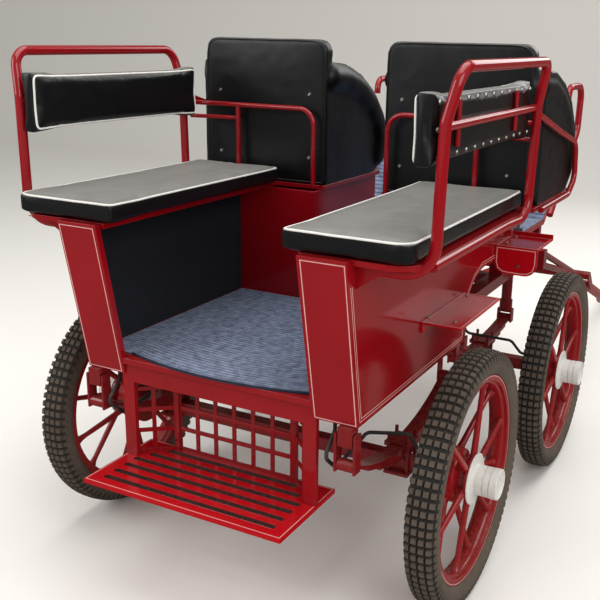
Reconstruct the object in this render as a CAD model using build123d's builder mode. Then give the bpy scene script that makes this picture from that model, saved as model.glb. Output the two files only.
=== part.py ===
from build123d import *
from math import atan2, cos, radians, sin
import os

# A four-wheeled marathon carriage with two long benches behind and two seats in front.
# Millimetres. X is the carriage's right, Y is forwards, Z is up and Z = 0 is the floor.
# Y = 0 is the rear face of the step frame, just under the rear edge of the body floor;
# save() moves each finished piece so that the origin lies under the middle of the whole.

os.makedirs("parts", exist_ok=True)

SIDES = (("left", -1), ("right", 1))

# Wheels and axles
REAR_AXLE_Y = 338
WHEELBASE = 932
FRONT_AXLE_Y = REAR_AXLE_Y + WHEELBASE
TRACK_HALF = 581
TYRE_RADIUS = 350
TYRE_WIDTH = 85
TREAD_EDGE_DROP = 9
RIM_FLANGE_RADIUS = 285
RIM_HALF_WIDTH = 28
RIM_WALL = 4
BEAD_SEAT_DEPTH = 13
RIM_WELL_DEPTH = 10
SPOKES = 12
SPOKE_DIAMETER = 16
DRUM_RADIUS = 78
DRUM_INNER = -72
DRUM_OUTER = -12
HUB_RADIUS = 48
HUB_FLANGE_RADIUS = 66
HUB_FLANGE_THICKNESS = 8
HUB_FACE = 20
CAP_FLANGE_RADIUS = 70
CAP_FLANGE_THICKNESS = 6
CAP_RADIUS = 42
CAP_LENGTH = 73
CAP_RECESS_DEPTH = 5
CAP_RECESS_RADIUS = 35
STUB_DIAMETER = 35
PIN_FIT = 0.1
KINGPIN_FIT = 0.5
SEAT_GAP = 0.3
MOVING_GAP = 6
AXLE_BEAM = 40
BACKPLATE_THICKNESS = 6

# Tub: rear floor, walls and bulkhead
WALL_OUTER_X = 416
WALL_THICKNESS = 18
WALL_INNER_X = WALL_OUTER_X - WALL_THICKNESS
PILLAR_INNER_X = 290
WALL_BOTTOM_Z = 590
FLOOR_TOP_Z = 637
FLOOR_THICKNESS = 17
FLOOR_REAR_Y = -10
BENCH_BOARD_Z = 1000
BENCH_BOARD_THICKNESS = 14
PILLAR_BOTTOM_Y = -4
PILLAR_TOP_Y = -84
BULKHEAD_Y = 727
BULKHEAD_THICKNESS = 12
AISLE_HALF = 111
CARPET = 5
MAT_CORNER = 34
MAT_BOW = 12

# Driver's end
DRIVER_FLOOR_TOP_Z = 806
DRIVER_FLOOR_THICKNESS = 18
WALL_FRONT_Y = 1180
ARCH_START = (742, 722)
ARCH_MIDDLE = (800, 768)
ARCH_END_Y = 930
TOE_START_Y = 1660
TOE_END_Y = 2022
TOE_END_Z = 1126
TOE_THICKNESS = 14

# Benches
BENCH_INNER_X = 255
BENCH_OUTER_X = 577
BENCH_REAR_Y = -62
BENCH_FRONT_Y = 768
BENCH_CORNER = 80
CUSHION_INNER_X = 246
CUSHION_OUTER_X = 560
CUSHION_REAR_Y = -76
CUSHION_FRONT_Y = 726
CUSHION_THICKNESS = 54
CUSHION_CORNER = 28
CUSHION_SMALL_CORNER = 12

# Red tube round the benches and seats
RAIL_DIAMETER = 26
RAIL_FOOT_Y = -8
RAIL_FRONT_Y = 690
RAIL_BEND_X = 596
RAIL_TOP_X = 621
RAIL_TOP_Z = 1426
RAIL_BEND_Z = RAIL_TOP_Z - 114
RAIL_TOP_INSET = 18
PAD_BACK_X = 580.4
PAD_THICKNESS = 52
PAD_REAR_Y = -24
PAD_FRONT_Y = 680
PAD_BOTTOM_Z = RAIL_TOP_Z - 199
PAD_TOP_Z = RAIL_TOP_Z - 58
HOOP_DIAMETER = 22
HOOP_Y = 742
HOOP_TOP_Z = RAIL_TOP_Z - 173
HOOP_INNER_X = 128
HOOP_STRUT_X = 412
HOOP_LINK_Z = HOOP_TOP_Z - 38
ARM_RAIL_REAR_Z = HOOP_TOP_Z + 30
ARM_RAIL_X = 603.3

# Driver's seats
SEAT_BACK_Y = 775
SEAT_SHELL = 45
SEAT_INNER_X = 103
SEAT_OUTER_X = 586
SEAT_BACK_OUTER_X = 558
SEAT_BOARD_OUTER_X = 590
SEAT_BOARD_FRONT_Y = 1200
SEAT_TOP_Z = 1468
SEAT_TOP_CORNER = 38
SEAT_CUSHION_HEIGHT = 95

# Steps
SIDE_STEP_Z = 752
SIDE_STEP_OUTER_X = 530
SIDE_STEP_REAR_Y = 365
SIDE_STEP_FRONT_Y = 700
SIDE_STEP_THICKNESS = 6
FRONT_STEP_Z = 842
FRONT_STEP_OUTER_X = 556
FRONT_STEP_REAR_Y = 984
FRONT_STEP_FRONT_Y = 1175
FLAP_BOTTOM_Z = 750
FLAP_CORNER = 40
FRONT_STEP_LIP = 14
REAR_STEP_Z = 348
REAR_STEP_HALF = 302
REAR_STEP_REAR_Y = -171
REAR_STEP_FRONT_Y = 106
REAR_STEP_THICKNESS = 12
SLOT_COUNT = 6
SLOT_PITCH = 40
SLOT_WIDTH = 17
SLOT_LENGTH = 530
UPRIGHT_WIDTH = 38
UPRIGHT_THICKNESS = 14
STEP_BAR_HEIGHT = 52
GRILLE_BACK_Y = 90
GRILLE_BACK_HALF = 188
GRILLE_BAR = 12
GRILLE_THICKNESS = 5
GRILLE_COLUMNS = 6
GRILLE_SIDE_COLUMNS = 2
GRILLE_PITCH_Z = 62

# Small sizes of the body
EDGE_TUBE_Z = BENCH_BOARD_Z + BENCH_BOARD_THICKNESS - RAIL_DIAMETER / 2
PILLAR_TOP_Z = EDGE_TUBE_Z - RAIL_DIAMETER / 2 - SEAT_GAP
RAIL_FOOT_RISE = 52
RAIL_FOOT_RUN = (17, 27.5)
CANE_FRONT_Y = 2040
CANE_TOP_Z = 1305
CANE_END_Y = 1818
CANE_TIP_DROP = 59
LEVER_DIAMETER = 12
LEVER_FOOT_Y = 1372
LEVER_TOP_Y = 1414
LEVER_TOP_Z = 893
GUSSET_Y = (-30, 340, 690)
GUSSET_DROP = 60
GUSSET_RADIUS = 260
BAR_DIAMETER = 20
PAD_CHAMFER = 12
PAD_BAR_DIAMETER = 10
PAD_BAR_Y = (97, 520)
PAD_BAR_Z = (PAD_BOTTOM_Z + 29, PAD_TOP_Z - 12)
SEAT_ARM = (
    # Y, Z of the wing's corners
    (800, 1014),
    (800, 1400),
    (910, 1395),
    (1030, 1358),
    (1135, 1298),
    (1212, 1218),
    (1236, 1130),
    (1204, 1052),
    (1152, 1014),
)
SEAT_ARM_CORNER = 20
ARM_RAIL = (
    # distance from the carriage's middle, Y, Z of the tube's middle
    (598, 708, ARM_RAIL_REAR_Z),
    (ARM_RAIL_X, 964, 1214),
    (ARM_RAIL_X, 1160, 1168),
    (ARM_RAIL_X, 1185, 1050),
    (ARM_RAIL_X, 1110, 1007),
    (ARM_RAIL_X, 790, 1007),
)
ARM_RAIL_BENDS = (200, 60, 40, 50)
STEP_FLANGE = 30
SLOT_FIRST_Y = -131
SLOT_TAPER = 330

# Springs and chassis
REAR_SPRING_X = 388
REAR_SPRING_HALF = 340
REAR_EYE_Z = 487
FRONT_SPRING_X = 305
FRONT_SPRING_HALF = 275
FRONT_EYE_Z = 425
LEAF_WIDTH = 44
LEAF_THICKNESS = 8
LEAF_COUNT = 4
LEAF_SHORTENING = 0.22
SPRING_SEAT = 8
EYE_DIAMETER = 32
PIN_DIAMETER = 14
U_BOLT_DIAMETER = 10
U_BOLT_RISE = 34
CLAMP_PLATE = 8
CLAMP_HALF_X = 36
CLAMP_HALF_Y = 40
CHEEK = 6
SHACKLE_LENGTH = 69
RAIL_SECTION = 30
CHASSIS_X = 250
TUB_FRONT_Y = 720
TURNTABLE_RADIUS = 240
TURNTABLE_THICKNESS = 10
KINGPIN_DIAMETER = 40
KINGPIN_BOTTOM_Z = 606

# Fore-carriage
FORE_RAIL_Z = 600
FORE_RAIL_HEIGHT = 40
FORE_RAIL_WIDTH = 50
FORE_CROSS_Y = (1150, 1350)
BUSH_RADIUS = 120
PEDESTAL_RADIUS = 110
POST_DIAMETER = 40
POST_BOTTOM_Z = 462
COLLAR_DIAMETER = 50
COLLAR_HEIGHT = 36
BOLSTER_Y = (1372, 1412)
BOLSTER_Z = 682
OUTRIGGER_X = 470
OUTRIGGER_DIAMETER = 24
OUTRIGGER_TOP_Z = 750
SPLINTER_Y = 2005
SPLINTER_Z = 519
SPLINTER_DIAMETER = 36

# Brake hoses, held at both ends
HOSE_DIAMETER = 10
HOSE_BEND = 20
REAR_HOSE = (
    # distance from the carriage's middle, Y, Z from under the rear cross member to the backplate
    (338, 29, WALL_BOTTOM_Z - SEAT_GAP),
    (338, 29, 555),
    (338, -24, 505),
    (338, 40, 448),
    (338, 215, 474),
    (440, 262, 474),
    (462, 304, 398),
)
FRONT_HOSE = (
    # the same from under the fore-carriage's cross member
    (250, 1170, FORE_RAIL_Z - SEAT_GAP),
    (250, 1170, 520),
    (262, 1212, 448),
    (430, 1212, 448),
    (462, 1236, 398),
)

# Shafts
SHAFT_DIAMETER = 42
SHAFT_X = 505
SHAFT_HINGE_Y = 2058
SHAFT_HINGE_Z = 466
SHAFT_EYE_WIDTH = 24
SHAFT_NECK = 42
SHAFT_TIP_X = 330
SHAFT_TIP_Y = 4150
SHAFT_BALL_RADIUS = 28
SHAFT_BENDS = (320, 420)
SHAFT_ROUTE = (
    # distance from the carriage's middle, Y, Z of the tube's middle
    (SHAFT_X, SHAFT_HINGE_Y, SHAFT_HINGE_Z),
    (SHAFT_X, 2560, 272),
    (SHAFT_TIP_X + 60, 3080, 120),
    (SHAFT_TIP_X, SHAFT_TIP_Y, SHAFT_BALL_RADIUS),
)

CHASSIS_FRONT_TOP_Z = DRIVER_FLOOR_TOP_Z - DRIVER_FLOOR_THICKNESS
CHASSIS_FRONT_Z = CHASSIS_FRONT_TOP_Z - 40
AXLE_TOP_Z = TYRE_RADIUS + AXLE_BEAM / 2
SPRING_MIDDLE_Z = AXLE_TOP_Z + SPRING_SEAT + (LEAF_COUNT - 0.5) * LEAF_THICKNESS
TURNTABLE_UPPER_Z = CHASSIS_FRONT_Z - TURNTABLE_THICKNESS
TURNTABLE_LOWER_Z = TURNTABLE_UPPER_Z - MOVING_GAP - TURNTABLE_THICKNESS
MIDDLE_Y = (REAR_STEP_REAR_Y + SHAFT_TIP_Y + SHAFT_BALL_RADIUS) / 2


def tube(points, radii, diameter):
    """Sweep a round tube along a path of straight runs joined by arcs of one radius or one per bend."""
    with BuildLine() as path:
        if radii:
            FilletPolyline(*points, radius=radii)
        else:
            Polyline(*points)
    start = path.line @ 0
    with BuildSketch(Plane(origin=start, z_dir=path.line % 0)) as section:
        Circle(diameter / 2)
    sweep(section.sketch, path=path.line)


def rod(start, end, diameter):
    """Add a straight round bar from one point to another."""
    run = Vector(*end) - Vector(*start)
    with BuildSketch(Plane(origin=start, z_dir=run)) as section:
        Circle(diameter / 2)
    extrude(section.sketch, amount=run.length)


def block(x_range, y_range, z_range):
    """Add a rectangular block between the given limits."""
    low = (min(x_range), min(y_range), min(z_range))
    size = (abs(x_range[1] - x_range[0]), abs(y_range[1] - y_range[0]), abs(z_range[1] - z_range[0]))
    with Locations(low):
        Box(*size, align=(Align.MIN, Align.MIN, Align.MIN))


def save(builder, label):
    """Name a finished piece, move it so that the origin lies under the carriage's middle, and write it."""
    placed = builder.part.moved(Location((0, -MIDDLE_Y, 0)))
    placed.label = label
    export_step(placed, f"parts/{label}.step")


# Wheels: tyre, spoked steel wheel and plastic hub cap

WHEELS = (
    # name, side, axle height Y
    ("rear_left", -1, REAR_AXLE_Y),
    ("rear_right", 1, REAR_AXLE_Y),
    ("front_left", -1, FRONT_AXLE_Y),
    ("front_right", 1, FRONT_AXLE_Y),
)

BEAD_RADIUS = RIM_FLANGE_RADIUS - BEAD_SEAT_DEPTH
WELL_RADIUS = BEAD_RADIUS - RIM_WELL_DEPTH
RIM_INNER_RADIUS = WELL_RADIUS - RIM_WALL

for name, side, axle_y in WHEELS:
    # Local axes of a wheel: first coordinate runs outwards along the axle, second is the radius
    wheel_plane = Plane(
        origin=(side * TRACK_HALF, axle_y, TYRE_RADIUS), x_dir=(side, 0, 0), z_dir=(0, side, 0)
    )
    axle = Axis(wheel_plane.origin, (side, 0, 0))

    with BuildPart() as tyre:
        bead_x = RIM_HALF_WIDTH - RIM_WALL - SEAT_GAP
        bead_r = BEAD_RADIUS + SEAT_GAP
        shoulder_x = TYRE_WIDTH / 2 - 4
        shoulder_r = TYRE_RADIUS - TREAD_EDGE_DROP
        sidewall_r = (RIM_FLANGE_RADIUS + TYRE_RADIUS) / 2
        with BuildSketch(wheel_plane):
            with BuildLine():
                Polyline(
                    (-bead_x, RIM_FLANGE_RADIUS + 2),
                    (-bead_x, bead_r),
                    (bead_x, bead_r),
                    (bead_x, RIM_FLANGE_RADIUS + 2),
                )
                ThreePointArc(
                    (bead_x, RIM_FLANGE_RADIUS + 2), (TYRE_WIDTH / 2, sidewall_r), (shoulder_x, shoulder_r)
                )
                ThreePointArc((shoulder_x, shoulder_r), (0, TYRE_RADIUS), (-shoulder_x, shoulder_r))
                ThreePointArc(
                    (-shoulder_x, shoulder_r), (-TYRE_WIDTH / 2, sidewall_r), (-bead_x, RIM_FLANGE_RADIUS + 2)
                )
            make_face()
        revolve(axis=axle)
    save(tyre, f"tyre_{name}")

    with BuildPart() as wheel:
        rim_x = RIM_HALF_WIDTH
        seat_x = RIM_HALF_WIDTH - RIM_WALL
        well_x = RIM_HALF_WIDTH / 2
        with BuildSketch(wheel_plane):
            with BuildLine():
                Polyline(
                    (rim_x, RIM_FLANGE_RADIUS),
                    (seat_x, RIM_FLANGE_RADIUS),
                    (seat_x, BEAD_RADIUS),
                    (well_x, BEAD_RADIUS),
                    (well_x - RIM_WALL, WELL_RADIUS),
                    (RIM_WALL - well_x, WELL_RADIUS),
                    (-well_x, BEAD_RADIUS),
                    (-seat_x, BEAD_RADIUS),
                    (-seat_x, RIM_FLANGE_RADIUS),
                    (-rim_x, RIM_FLANGE_RADIUS),
                    (-rim_x, BEAD_RADIUS - RIM_WALL),
                    (-well_x - RIM_WALL, BEAD_RADIUS - RIM_WALL),
                    (-well_x, RIM_INNER_RADIUS),
                    (well_x, RIM_INNER_RADIUS),
                    (well_x + RIM_WALL, BEAD_RADIUS - RIM_WALL),
                    (rim_x, BEAD_RADIUS - RIM_WALL),
                    close=True,
                )
            make_face()
        revolve(axis=axle)
        # Hub: brake drum on the inside, barrel and outer spoke flange
        bore = STUB_DIAMETER / 2 + PIN_FIT
        with BuildSketch(wheel_plane):
            with BuildLine():
                Polyline(
                    (DRUM_INNER, bore),
                    (DRUM_INNER, DRUM_RADIUS),
                    (DRUM_OUTER, DRUM_RADIUS),
                    (DRUM_OUTER, HUB_RADIUS),
                    (HUB_FACE - HUB_FLANGE_THICKNESS, HUB_RADIUS),
                    (HUB_FACE - HUB_FLANGE_THICKNESS, HUB_FLANGE_RADIUS),
                    (HUB_FACE, HUB_FLANGE_RADIUS),
                    (HUB_FACE, bore),
                    close=True,
                )
            make_face()
        revolve(axis=axle)
        # Spokes run in turn from the drum and from the outer flange to the rim
        spoke_ends = (
            # hub offset, hub radius, rim offset
            ((DRUM_INNER + DRUM_OUTER) / 2, DRUM_RADIUS - 4, -well_x / 2),
            (HUB_FACE - HUB_FLANGE_THICKNESS, HUB_RADIUS + 2, well_x / 2),
        )
        for index in range(SPOKES):
            angle = radians(360 / SPOKES * (index + 0.5))
            hub_x, hub_r, tip_x = spoke_ends[index % 2]
            tip_r = (RIM_INNER_RADIUS + WELL_RADIUS) / 2
            start = wheel_plane.origin + Vector(side * hub_x, hub_r * cos(angle), hub_r * sin(angle))
            tip = wheel_plane.origin + Vector(side * tip_x, tip_r * cos(angle), tip_r * sin(angle))
            rod(start, tip, SPOKE_DIAMETER)
    save(wheel, f"wheel_{name}")

    with BuildPart() as hub_cap:
        cap_end = HUB_FACE + CAP_LENGTH
        with BuildSketch(wheel_plane):
            with BuildLine():
                Polyline(
                    (HUB_FACE, 0),
                    (HUB_FACE, CAP_FLANGE_RADIUS),
                    (HUB_FACE + CAP_FLANGE_THICKNESS, CAP_FLANGE_RADIUS - 3),
                    (HUB_FACE + CAP_FLANGE_THICKNESS, CAP_RADIUS),
                    (cap_end, CAP_RADIUS),
                    (cap_end, CAP_RECESS_RADIUS),
                    (cap_end - CAP_RECESS_DEPTH, CAP_RECESS_RADIUS),
                    (cap_end - CAP_RECESS_DEPTH, 0),
                    close=True,
                )
            make_face()
        revolve(axis=axle)
    save(hub_cap, f"hub_cap_{name}")


def axle_with_stubs(axle_y):
    """Square beam, round stub ends and brake backplates of one axle."""
    backplate_end = TRACK_HALF + DRUM_INNER - MOVING_GAP
    half = AXLE_BEAM / 2
    block((-backplate_end, backplate_end), (axle_y - half, axle_y + half), (TYRE_RADIUS - half, AXLE_TOP_Z))
    stub_end = TRACK_HALF + HUB_FACE - 4
    rod((-stub_end, axle_y, TYRE_RADIUS), (stub_end, axle_y, TYRE_RADIUS), STUB_DIAMETER)
    for side in (-1, 1):
        plate_start = (side * (backplate_end - BACKPLATE_THICKNESS), axle_y, TYRE_RADIUS)
        plate_stop = (side * backplate_end, axle_y, TYRE_RADIUS)
        rod(plate_start, plate_stop, 2 * DRUM_RADIUS)


with BuildPart() as rear_axle:
    axle_with_stubs(REAR_AXLE_Y)
save(rear_axle, "rear_axle")

with BuildPart() as front_axle:
    axle_with_stubs(FRONT_AXLE_Y)
save(front_axle, "front_axle")


def bore(start, end, diameter):
    """Cut a round hole from one point to another."""
    run = Vector(*end) - Vector(*start)
    with BuildSketch(Plane(origin=start, z_dir=run)) as section:
        Circle(diameter / 2)
    extrude(section.sketch, amount=run.length, mode=Mode.SUBTRACT)


def cross_hole(centre_x, half_width, y, z, diameter):
    """Cut a hole along X through a lug or an eye."""
    bore((centre_x - half_width, y, z), (centre_x + half_width, y, z), diameter)


def leaf_spring(centre_x, axle_y, half_length, eye_z):
    """Leaf pack with eyes, rear shackle and U-bolts that clamp it on the axle."""
    near_x = centre_x - LEAF_WIDTH / 2
    for leaf in range(LEAF_COUNT):
        share = 1 - LEAF_SHORTENING * leaf
        reach = half_length * share
        leaf_z = SPRING_MIDDLE_Z - leaf * LEAF_THICKNESS
        end_z = leaf_z + (eye_z - SPRING_MIDDLE_Z) * share**2
        with BuildSketch(Plane.YZ.offset(near_x)) as leaf_side:
            with BuildLine():
                ThreePointArc((axle_y - reach, end_z), (axle_y, leaf_z), (axle_y + reach, end_z))
            trace(line_width=LEAF_THICKNESS)
        extrude(leaf_side.sketch, amount=LEAF_WIDTH)
    # Seat block under the pack and clamp plates above it and under the axle beam
    clamp_x = (centre_x - CLAMP_HALF_X, centre_x + CLAMP_HALF_X)
    clamp_y = (axle_y - CLAMP_HALF_Y, axle_y + CLAMP_HALF_Y)
    beam_bottom = TYRE_RADIUS - AXLE_BEAM / 2
    leaf_x = (near_x, near_x + LEAF_WIDTH)
    block(leaf_x, clamp_y, (AXLE_TOP_Z, AXLE_TOP_Z + SPRING_SEAT + LEAF_THICKNESS))
    block(clamp_x, clamp_y, (SPRING_MIDDLE_Z, SPRING_MIDDLE_Z + LEAF_THICKNESS / 2 + CLAMP_PLATE))
    block(clamp_x, clamp_y, (beam_bottom - CLAMP_PLATE, beam_bottom))
    bolt_x = LEAF_WIDTH / 2 + U_BOLT_DIAMETER / 2 + 1
    bolt_y = AXLE_BEAM / 2 + U_BOLT_DIAMETER / 2 + 1
    for step_x in (-1, 1):
        for step_y in (-1, 1):
            foot = (centre_x + step_x * bolt_x, axle_y + step_y * bolt_y)
            rod((*foot, beam_bottom - CLAMP_PLATE), (*foot, SPRING_MIDDLE_Z + U_BOLT_RISE), U_BOLT_DIAMETER)
    for step_y in (-1, 1):
        eye_y = axle_y + step_y * half_length
        rod((near_x, eye_y, eye_z), (near_x + LEAF_WIDTH, eye_y, eye_z), EYE_DIAMETER)
    cross_hole(centre_x, LEAF_WIDTH, axle_y + half_length, eye_z, PIN_DIAMETER + 2 * PIN_FIT)
    # Shackle at the rear end: two plates on two pins
    plate_in = LEAF_WIDTH / 2 + 1
    for step_x in (-1, 1):
        plate_x = (centre_x + step_x * plate_in, centre_x + step_x * (plate_in + CHEEK))
        shackle_y = (axle_y - half_length - EYE_DIAMETER / 2, axle_y - half_length + EYE_DIAMETER / 2)
        block(plate_x, shackle_y, (eye_z - EYE_DIAMETER / 2, eye_z + SHACKLE_LENGTH + EYE_DIAMETER / 2))
    for pin_z in (eye_z, eye_z + SHACKLE_LENGTH):
        pin_ends = [(centre_x + step_x * (plate_in + CHEEK), axle_y - half_length, pin_z) for step_x in (-1, 1)]
        rod(*pin_ends, PIN_DIAMETER)


def hanger_cheeks(centre_x, eye_y, eye_z, top_z):
    """Two cheeks and a pin that hold a fixed spring eye."""
    cheek_in = LEAF_WIDTH / 2 + 1
    half = EYE_DIAMETER / 2
    for step_x in (-1, 1):
        cheek_x = (centre_x + step_x * cheek_in, centre_x + step_x * (cheek_in + CHEEK))
        block(cheek_x, (eye_y - half, eye_y + half), (eye_z - half, top_z))
    bridge_x = (centre_x - cheek_in - CHEEK, centre_x + cheek_in + CHEEK)
    block(bridge_x, (eye_y - half, eye_y + half), (top_z - 2 * CHEEK, top_z))
    pin_ends = [(centre_x + step_x * (cheek_in + CHEEK), eye_y, eye_z) for step_x in (-1, 1)]
    rod(*pin_ends, PIN_DIAMETER)


def shackle_lug(centre_x, eye_y, pin_z, top_z):
    """Lug that a rear shackle swings from."""
    half_x = LEAF_WIDTH / 2 - 2
    half_y = EYE_DIAMETER / 2
    block((centre_x - half_x, centre_x + half_x), (eye_y - half_y, eye_y + half_y), (pin_z - half_y, top_z))
    cross_hole(centre_x, LEAF_WIDTH, eye_y, pin_z, PIN_DIAMETER + 2 * PIN_FIT)


with BuildPart() as rear_springs:
    for side_name, side in SIDES:
        leaf_spring(side * REAR_SPRING_X, REAR_AXLE_Y, REAR_SPRING_HALF, REAR_EYE_Z)
save(rear_springs, "rear_springs")

with BuildPart() as front_springs:
    for side_name, side in SIDES:
        leaf_spring(side * FRONT_SPRING_X, FRONT_AXLE_Y, FRONT_SPRING_HALF, FRONT_EYE_Z)
save(front_springs, "front_springs")


# Chassis: rails under both floors, risers at the bulkhead, turntable plate and kingpin

with BuildPart() as chassis_frame:
    side_rail_x = (WALL_INNER_X - RAIL_SECTION, WALL_INNER_X)
    low_z = (WALL_BOTTOM_Z, WALL_BOTTOM_Z + RAIL_SECTION)
    high_z = (CHASSIS_FRONT_Z, CHASSIS_FRONT_TOP_Z)
    rear_y = PILLAR_BOTTOM_Y + WALL_THICKNESS
    riser_y = (BULKHEAD_Y + BULKHEAD_THICKNESS, BULKHEAD_Y + BULKHEAD_THICKNESS + RAIL_SECTION)
    centre_rail_x = (CHASSIS_X - RAIL_SECTION / 2, CHASSIS_X + RAIL_SECTION / 2)
    rear_spring_front_y = REAR_AXLE_Y + REAR_SPRING_HALF
    rear_spring_rear_y = REAR_AXLE_Y - REAR_SPRING_HALF
    for side_name, side in SIDES:
        outer = [side * x for x in side_rail_x]
        inner = [side * x for x in centre_rail_x]
        block(outer, (rear_y, TUB_FRONT_Y), low_z)
        block(inner, (rear_y, riser_y[1]), low_z)
        block(inner, riser_y, (low_z[0], high_z[1]))
        block(inner, (riser_y[0], TOE_START_Y - RAIL_SECTION), high_z)
        shackle_lug(side * REAR_SPRING_X, rear_spring_rear_y, REAR_EYE_Z + SHACKLE_LENGTH, WALL_BOTTOM_Z)
        hanger_cheeks(side * REAR_SPRING_X, rear_spring_front_y, REAR_EYE_Z, WALL_BOTTOM_Z)
    for cross_y in (rear_y, REAR_AXLE_Y, TUB_FRONT_Y - RAIL_SECTION):
        block((-WALL_INNER_X, WALL_INNER_X), (cross_y, cross_y + RAIL_SECTION), low_z)
    for cross_y in (riser_y[0], WALL_FRONT_Y - RAIL_SECTION, TOE_START_Y - 2 * RAIL_SECTION):
        cross_z = (CHASSIS_FRONT_TOP_Z - RAIL_SECTION, CHASSIS_FRONT_TOP_Z)
        block((-WALL_INNER_X, WALL_INNER_X), (cross_y, cross_y + RAIL_SECTION), cross_z)
    plate_y = (FRONT_AXLE_Y - TURNTABLE_RADIUS / 2, FRONT_AXLE_Y + TURNTABLE_RADIUS / 2)
    block((-CHASSIS_X, CHASSIS_X), plate_y, (CHASSIS_FRONT_Z, CHASSIS_FRONT_Z + TURNTABLE_THICKNESS))
    rod(
        (0, FRONT_AXLE_Y, TURNTABLE_UPPER_Z),
        (0, FRONT_AXLE_Y, TURNTABLE_UPPER_Z + TURNTABLE_THICKNESS),
        2 * TURNTABLE_RADIUS,
    )
    rod((0, FRONT_AXLE_Y, KINGPIN_BOTTOM_Z), (0, FRONT_AXLE_Y, CHASSIS_FRONT_Z), KINGPIN_DIAMETER)
save(chassis_frame, "chassis_frame")


# Fore-carriage frame: turns under the driver's floor on the kingpin

with BuildPart() as fore_frame:
    fore_top_z = FORE_RAIL_Z + FORE_RAIL_HEIGHT
    rail_half = FORE_RAIL_WIDTH / 2
    front_eye_y = FRONT_AXLE_Y + FRONT_SPRING_HALF
    rear_eye_y = FRONT_AXLE_Y - FRONT_SPRING_HALF
    for side_name, side in SIDES:
        centre = side * FRONT_SPRING_X
        rail_x = (centre - rail_half, centre + rail_half)
        block(rail_x, (rear_eye_y - rail_half, front_eye_y + rail_half), (FORE_RAIL_Z, fore_top_z))
        shackle_lug(centre, rear_eye_y, FRONT_EYE_Z + SHACKLE_LENGTH, FORE_RAIL_Z)
        hanger_cheeks(centre, front_eye_y, FRONT_EYE_Z, POST_BOTTOM_Z)
        rod((centre, front_eye_y, POST_BOTTOM_Z - CHEEK), (centre, front_eye_y, FORE_RAIL_Z), POST_DIAMETER)
        rod(
            (centre, front_eye_y, POST_BOTTOM_Z), (centre, front_eye_y, POST_BOTTOM_Z + COLLAR_HEIGHT), COLLAR_DIAMETER
        )
        block(rail_x, BOLSTER_Y, (fore_top_z, BOLSTER_Z))
        # Outrigger from the bolster's end to the splinter bar
        end_x = side * OUTRIGGER_X
        stub_x = (end_x - OUTRIGGER_DIAMETER / 2, end_x + OUTRIGGER_DIAMETER / 2)
        block(stub_x, BOLSTER_Y, (BOLSTER_Z, OUTRIGGER_TOP_Z))
        for bar_z in (BOLSTER_Z + OUTRIGGER_DIAMETER / 2, OUTRIGGER_TOP_Z - OUTRIGGER_DIAMETER / 2):
            rod((end_x, sum(BOLSTER_Y) / 2, bar_z), (end_x, SPLINTER_Y, SPLINTER_Z), OUTRIGGER_DIAMETER)
        # Clevis plates and pin that carry the shaft
        for step_x in (-1, 1):
            plate_x = side * SHAFT_X + step_x * (SHAFT_EYE_WIDTH / 2 + MOVING_GAP + CHEEK / 2)
            with BuildSketch(Plane.YZ.offset(plate_x)) as clevis_plate:
                for pin_y, pin_z in ((SPLINTER_Y, SPLINTER_Z), (SHAFT_HINGE_Y, SHAFT_HINGE_Z)):
                    with Locations((pin_y, pin_z)):
                        Circle(SPLINTER_DIAMETER / 2)
                make_hull()
            extrude(clevis_plate.sketch, amount=CHEEK / 2, both=True)
        pin_reach = SHAFT_EYE_WIDTH / 2 + MOVING_GAP + CHEEK
        rod(
            (side * SHAFT_X - pin_reach, SHAFT_HINGE_Y, SHAFT_HINGE_Z),
            (side * SHAFT_X + pin_reach, SHAFT_HINGE_Y, SHAFT_HINGE_Z),
            PIN_DIAMETER,
        )
    splinter_end = SHAFT_X + SHAFT_EYE_WIDTH / 2 + MOVING_GAP + CHEEK
    rod((-splinter_end, SPLINTER_Y, SPLINTER_Z), (splinter_end, SPLINTER_Y, SPLINTER_Z), SPLINTER_DIAMETER)
    for cross_y in FORE_CROSS_Y:
        block((-FRONT_SPRING_X, FRONT_SPRING_X), (cross_y, cross_y + FORE_RAIL_HEIGHT), (FORE_RAIL_Z, fore_top_z))
    block((-OUTRIGGER_X, OUTRIGGER_X), BOLSTER_Y, (BOLSTER_Z, TURNTABLE_LOWER_Z))
    # Turntable ring on its pedestal, with the kingpin's bush
    rod((0, FRONT_AXLE_Y, fore_top_z), (0, FRONT_AXLE_Y, TURNTABLE_LOWER_Z), 2 * PEDESTAL_RADIUS)
    rod(
        (0, FRONT_AXLE_Y, TURNTABLE_LOWER_Z),
        (0, FRONT_AXLE_Y, TURNTABLE_LOWER_Z + TURNTABLE_THICKNESS),
        2 * TURNTABLE_RADIUS,
    )
    rod((0, FRONT_AXLE_Y, FORE_RAIL_Z), (0, FRONT_AXLE_Y, fore_top_z), 2 * BUSH_RADIUS)
    bore(
        (0, FRONT_AXLE_Y, FORE_RAIL_Z),
        (0, FRONT_AXLE_Y, TURNTABLE_LOWER_Z + TURNTABLE_THICKNESS),
        KINGPIN_DIAMETER + 2 * KINGPIN_FIT,
    )
save(fore_frame, "fore_frame")


# Rubber brake hoses from the frames down to the backplates, over the springs

for hose_route, hose_label in ((REAR_HOSE, "brake_hoses"), (FRONT_HOSE, "front_brake_hoses")):
    with BuildPart() as hoses:
        plate_x = TRACK_HALF + DRUM_INNER - MOVING_GAP - BACKPLATE_THICKNESS - SEAT_GAP
        for side_name, side in SIDES:
            route = [(side * x, y, z) for x, y, z in hose_route]
            route.append((side * plate_x, *hose_route[-1][1:]))
            tube(route, HOSE_BEND, HOSE_DIAMETER)
    save(hoses, hose_label)


# Shafts: bent tubes hinged at the splinter bar, tips resting on the floor

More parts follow.
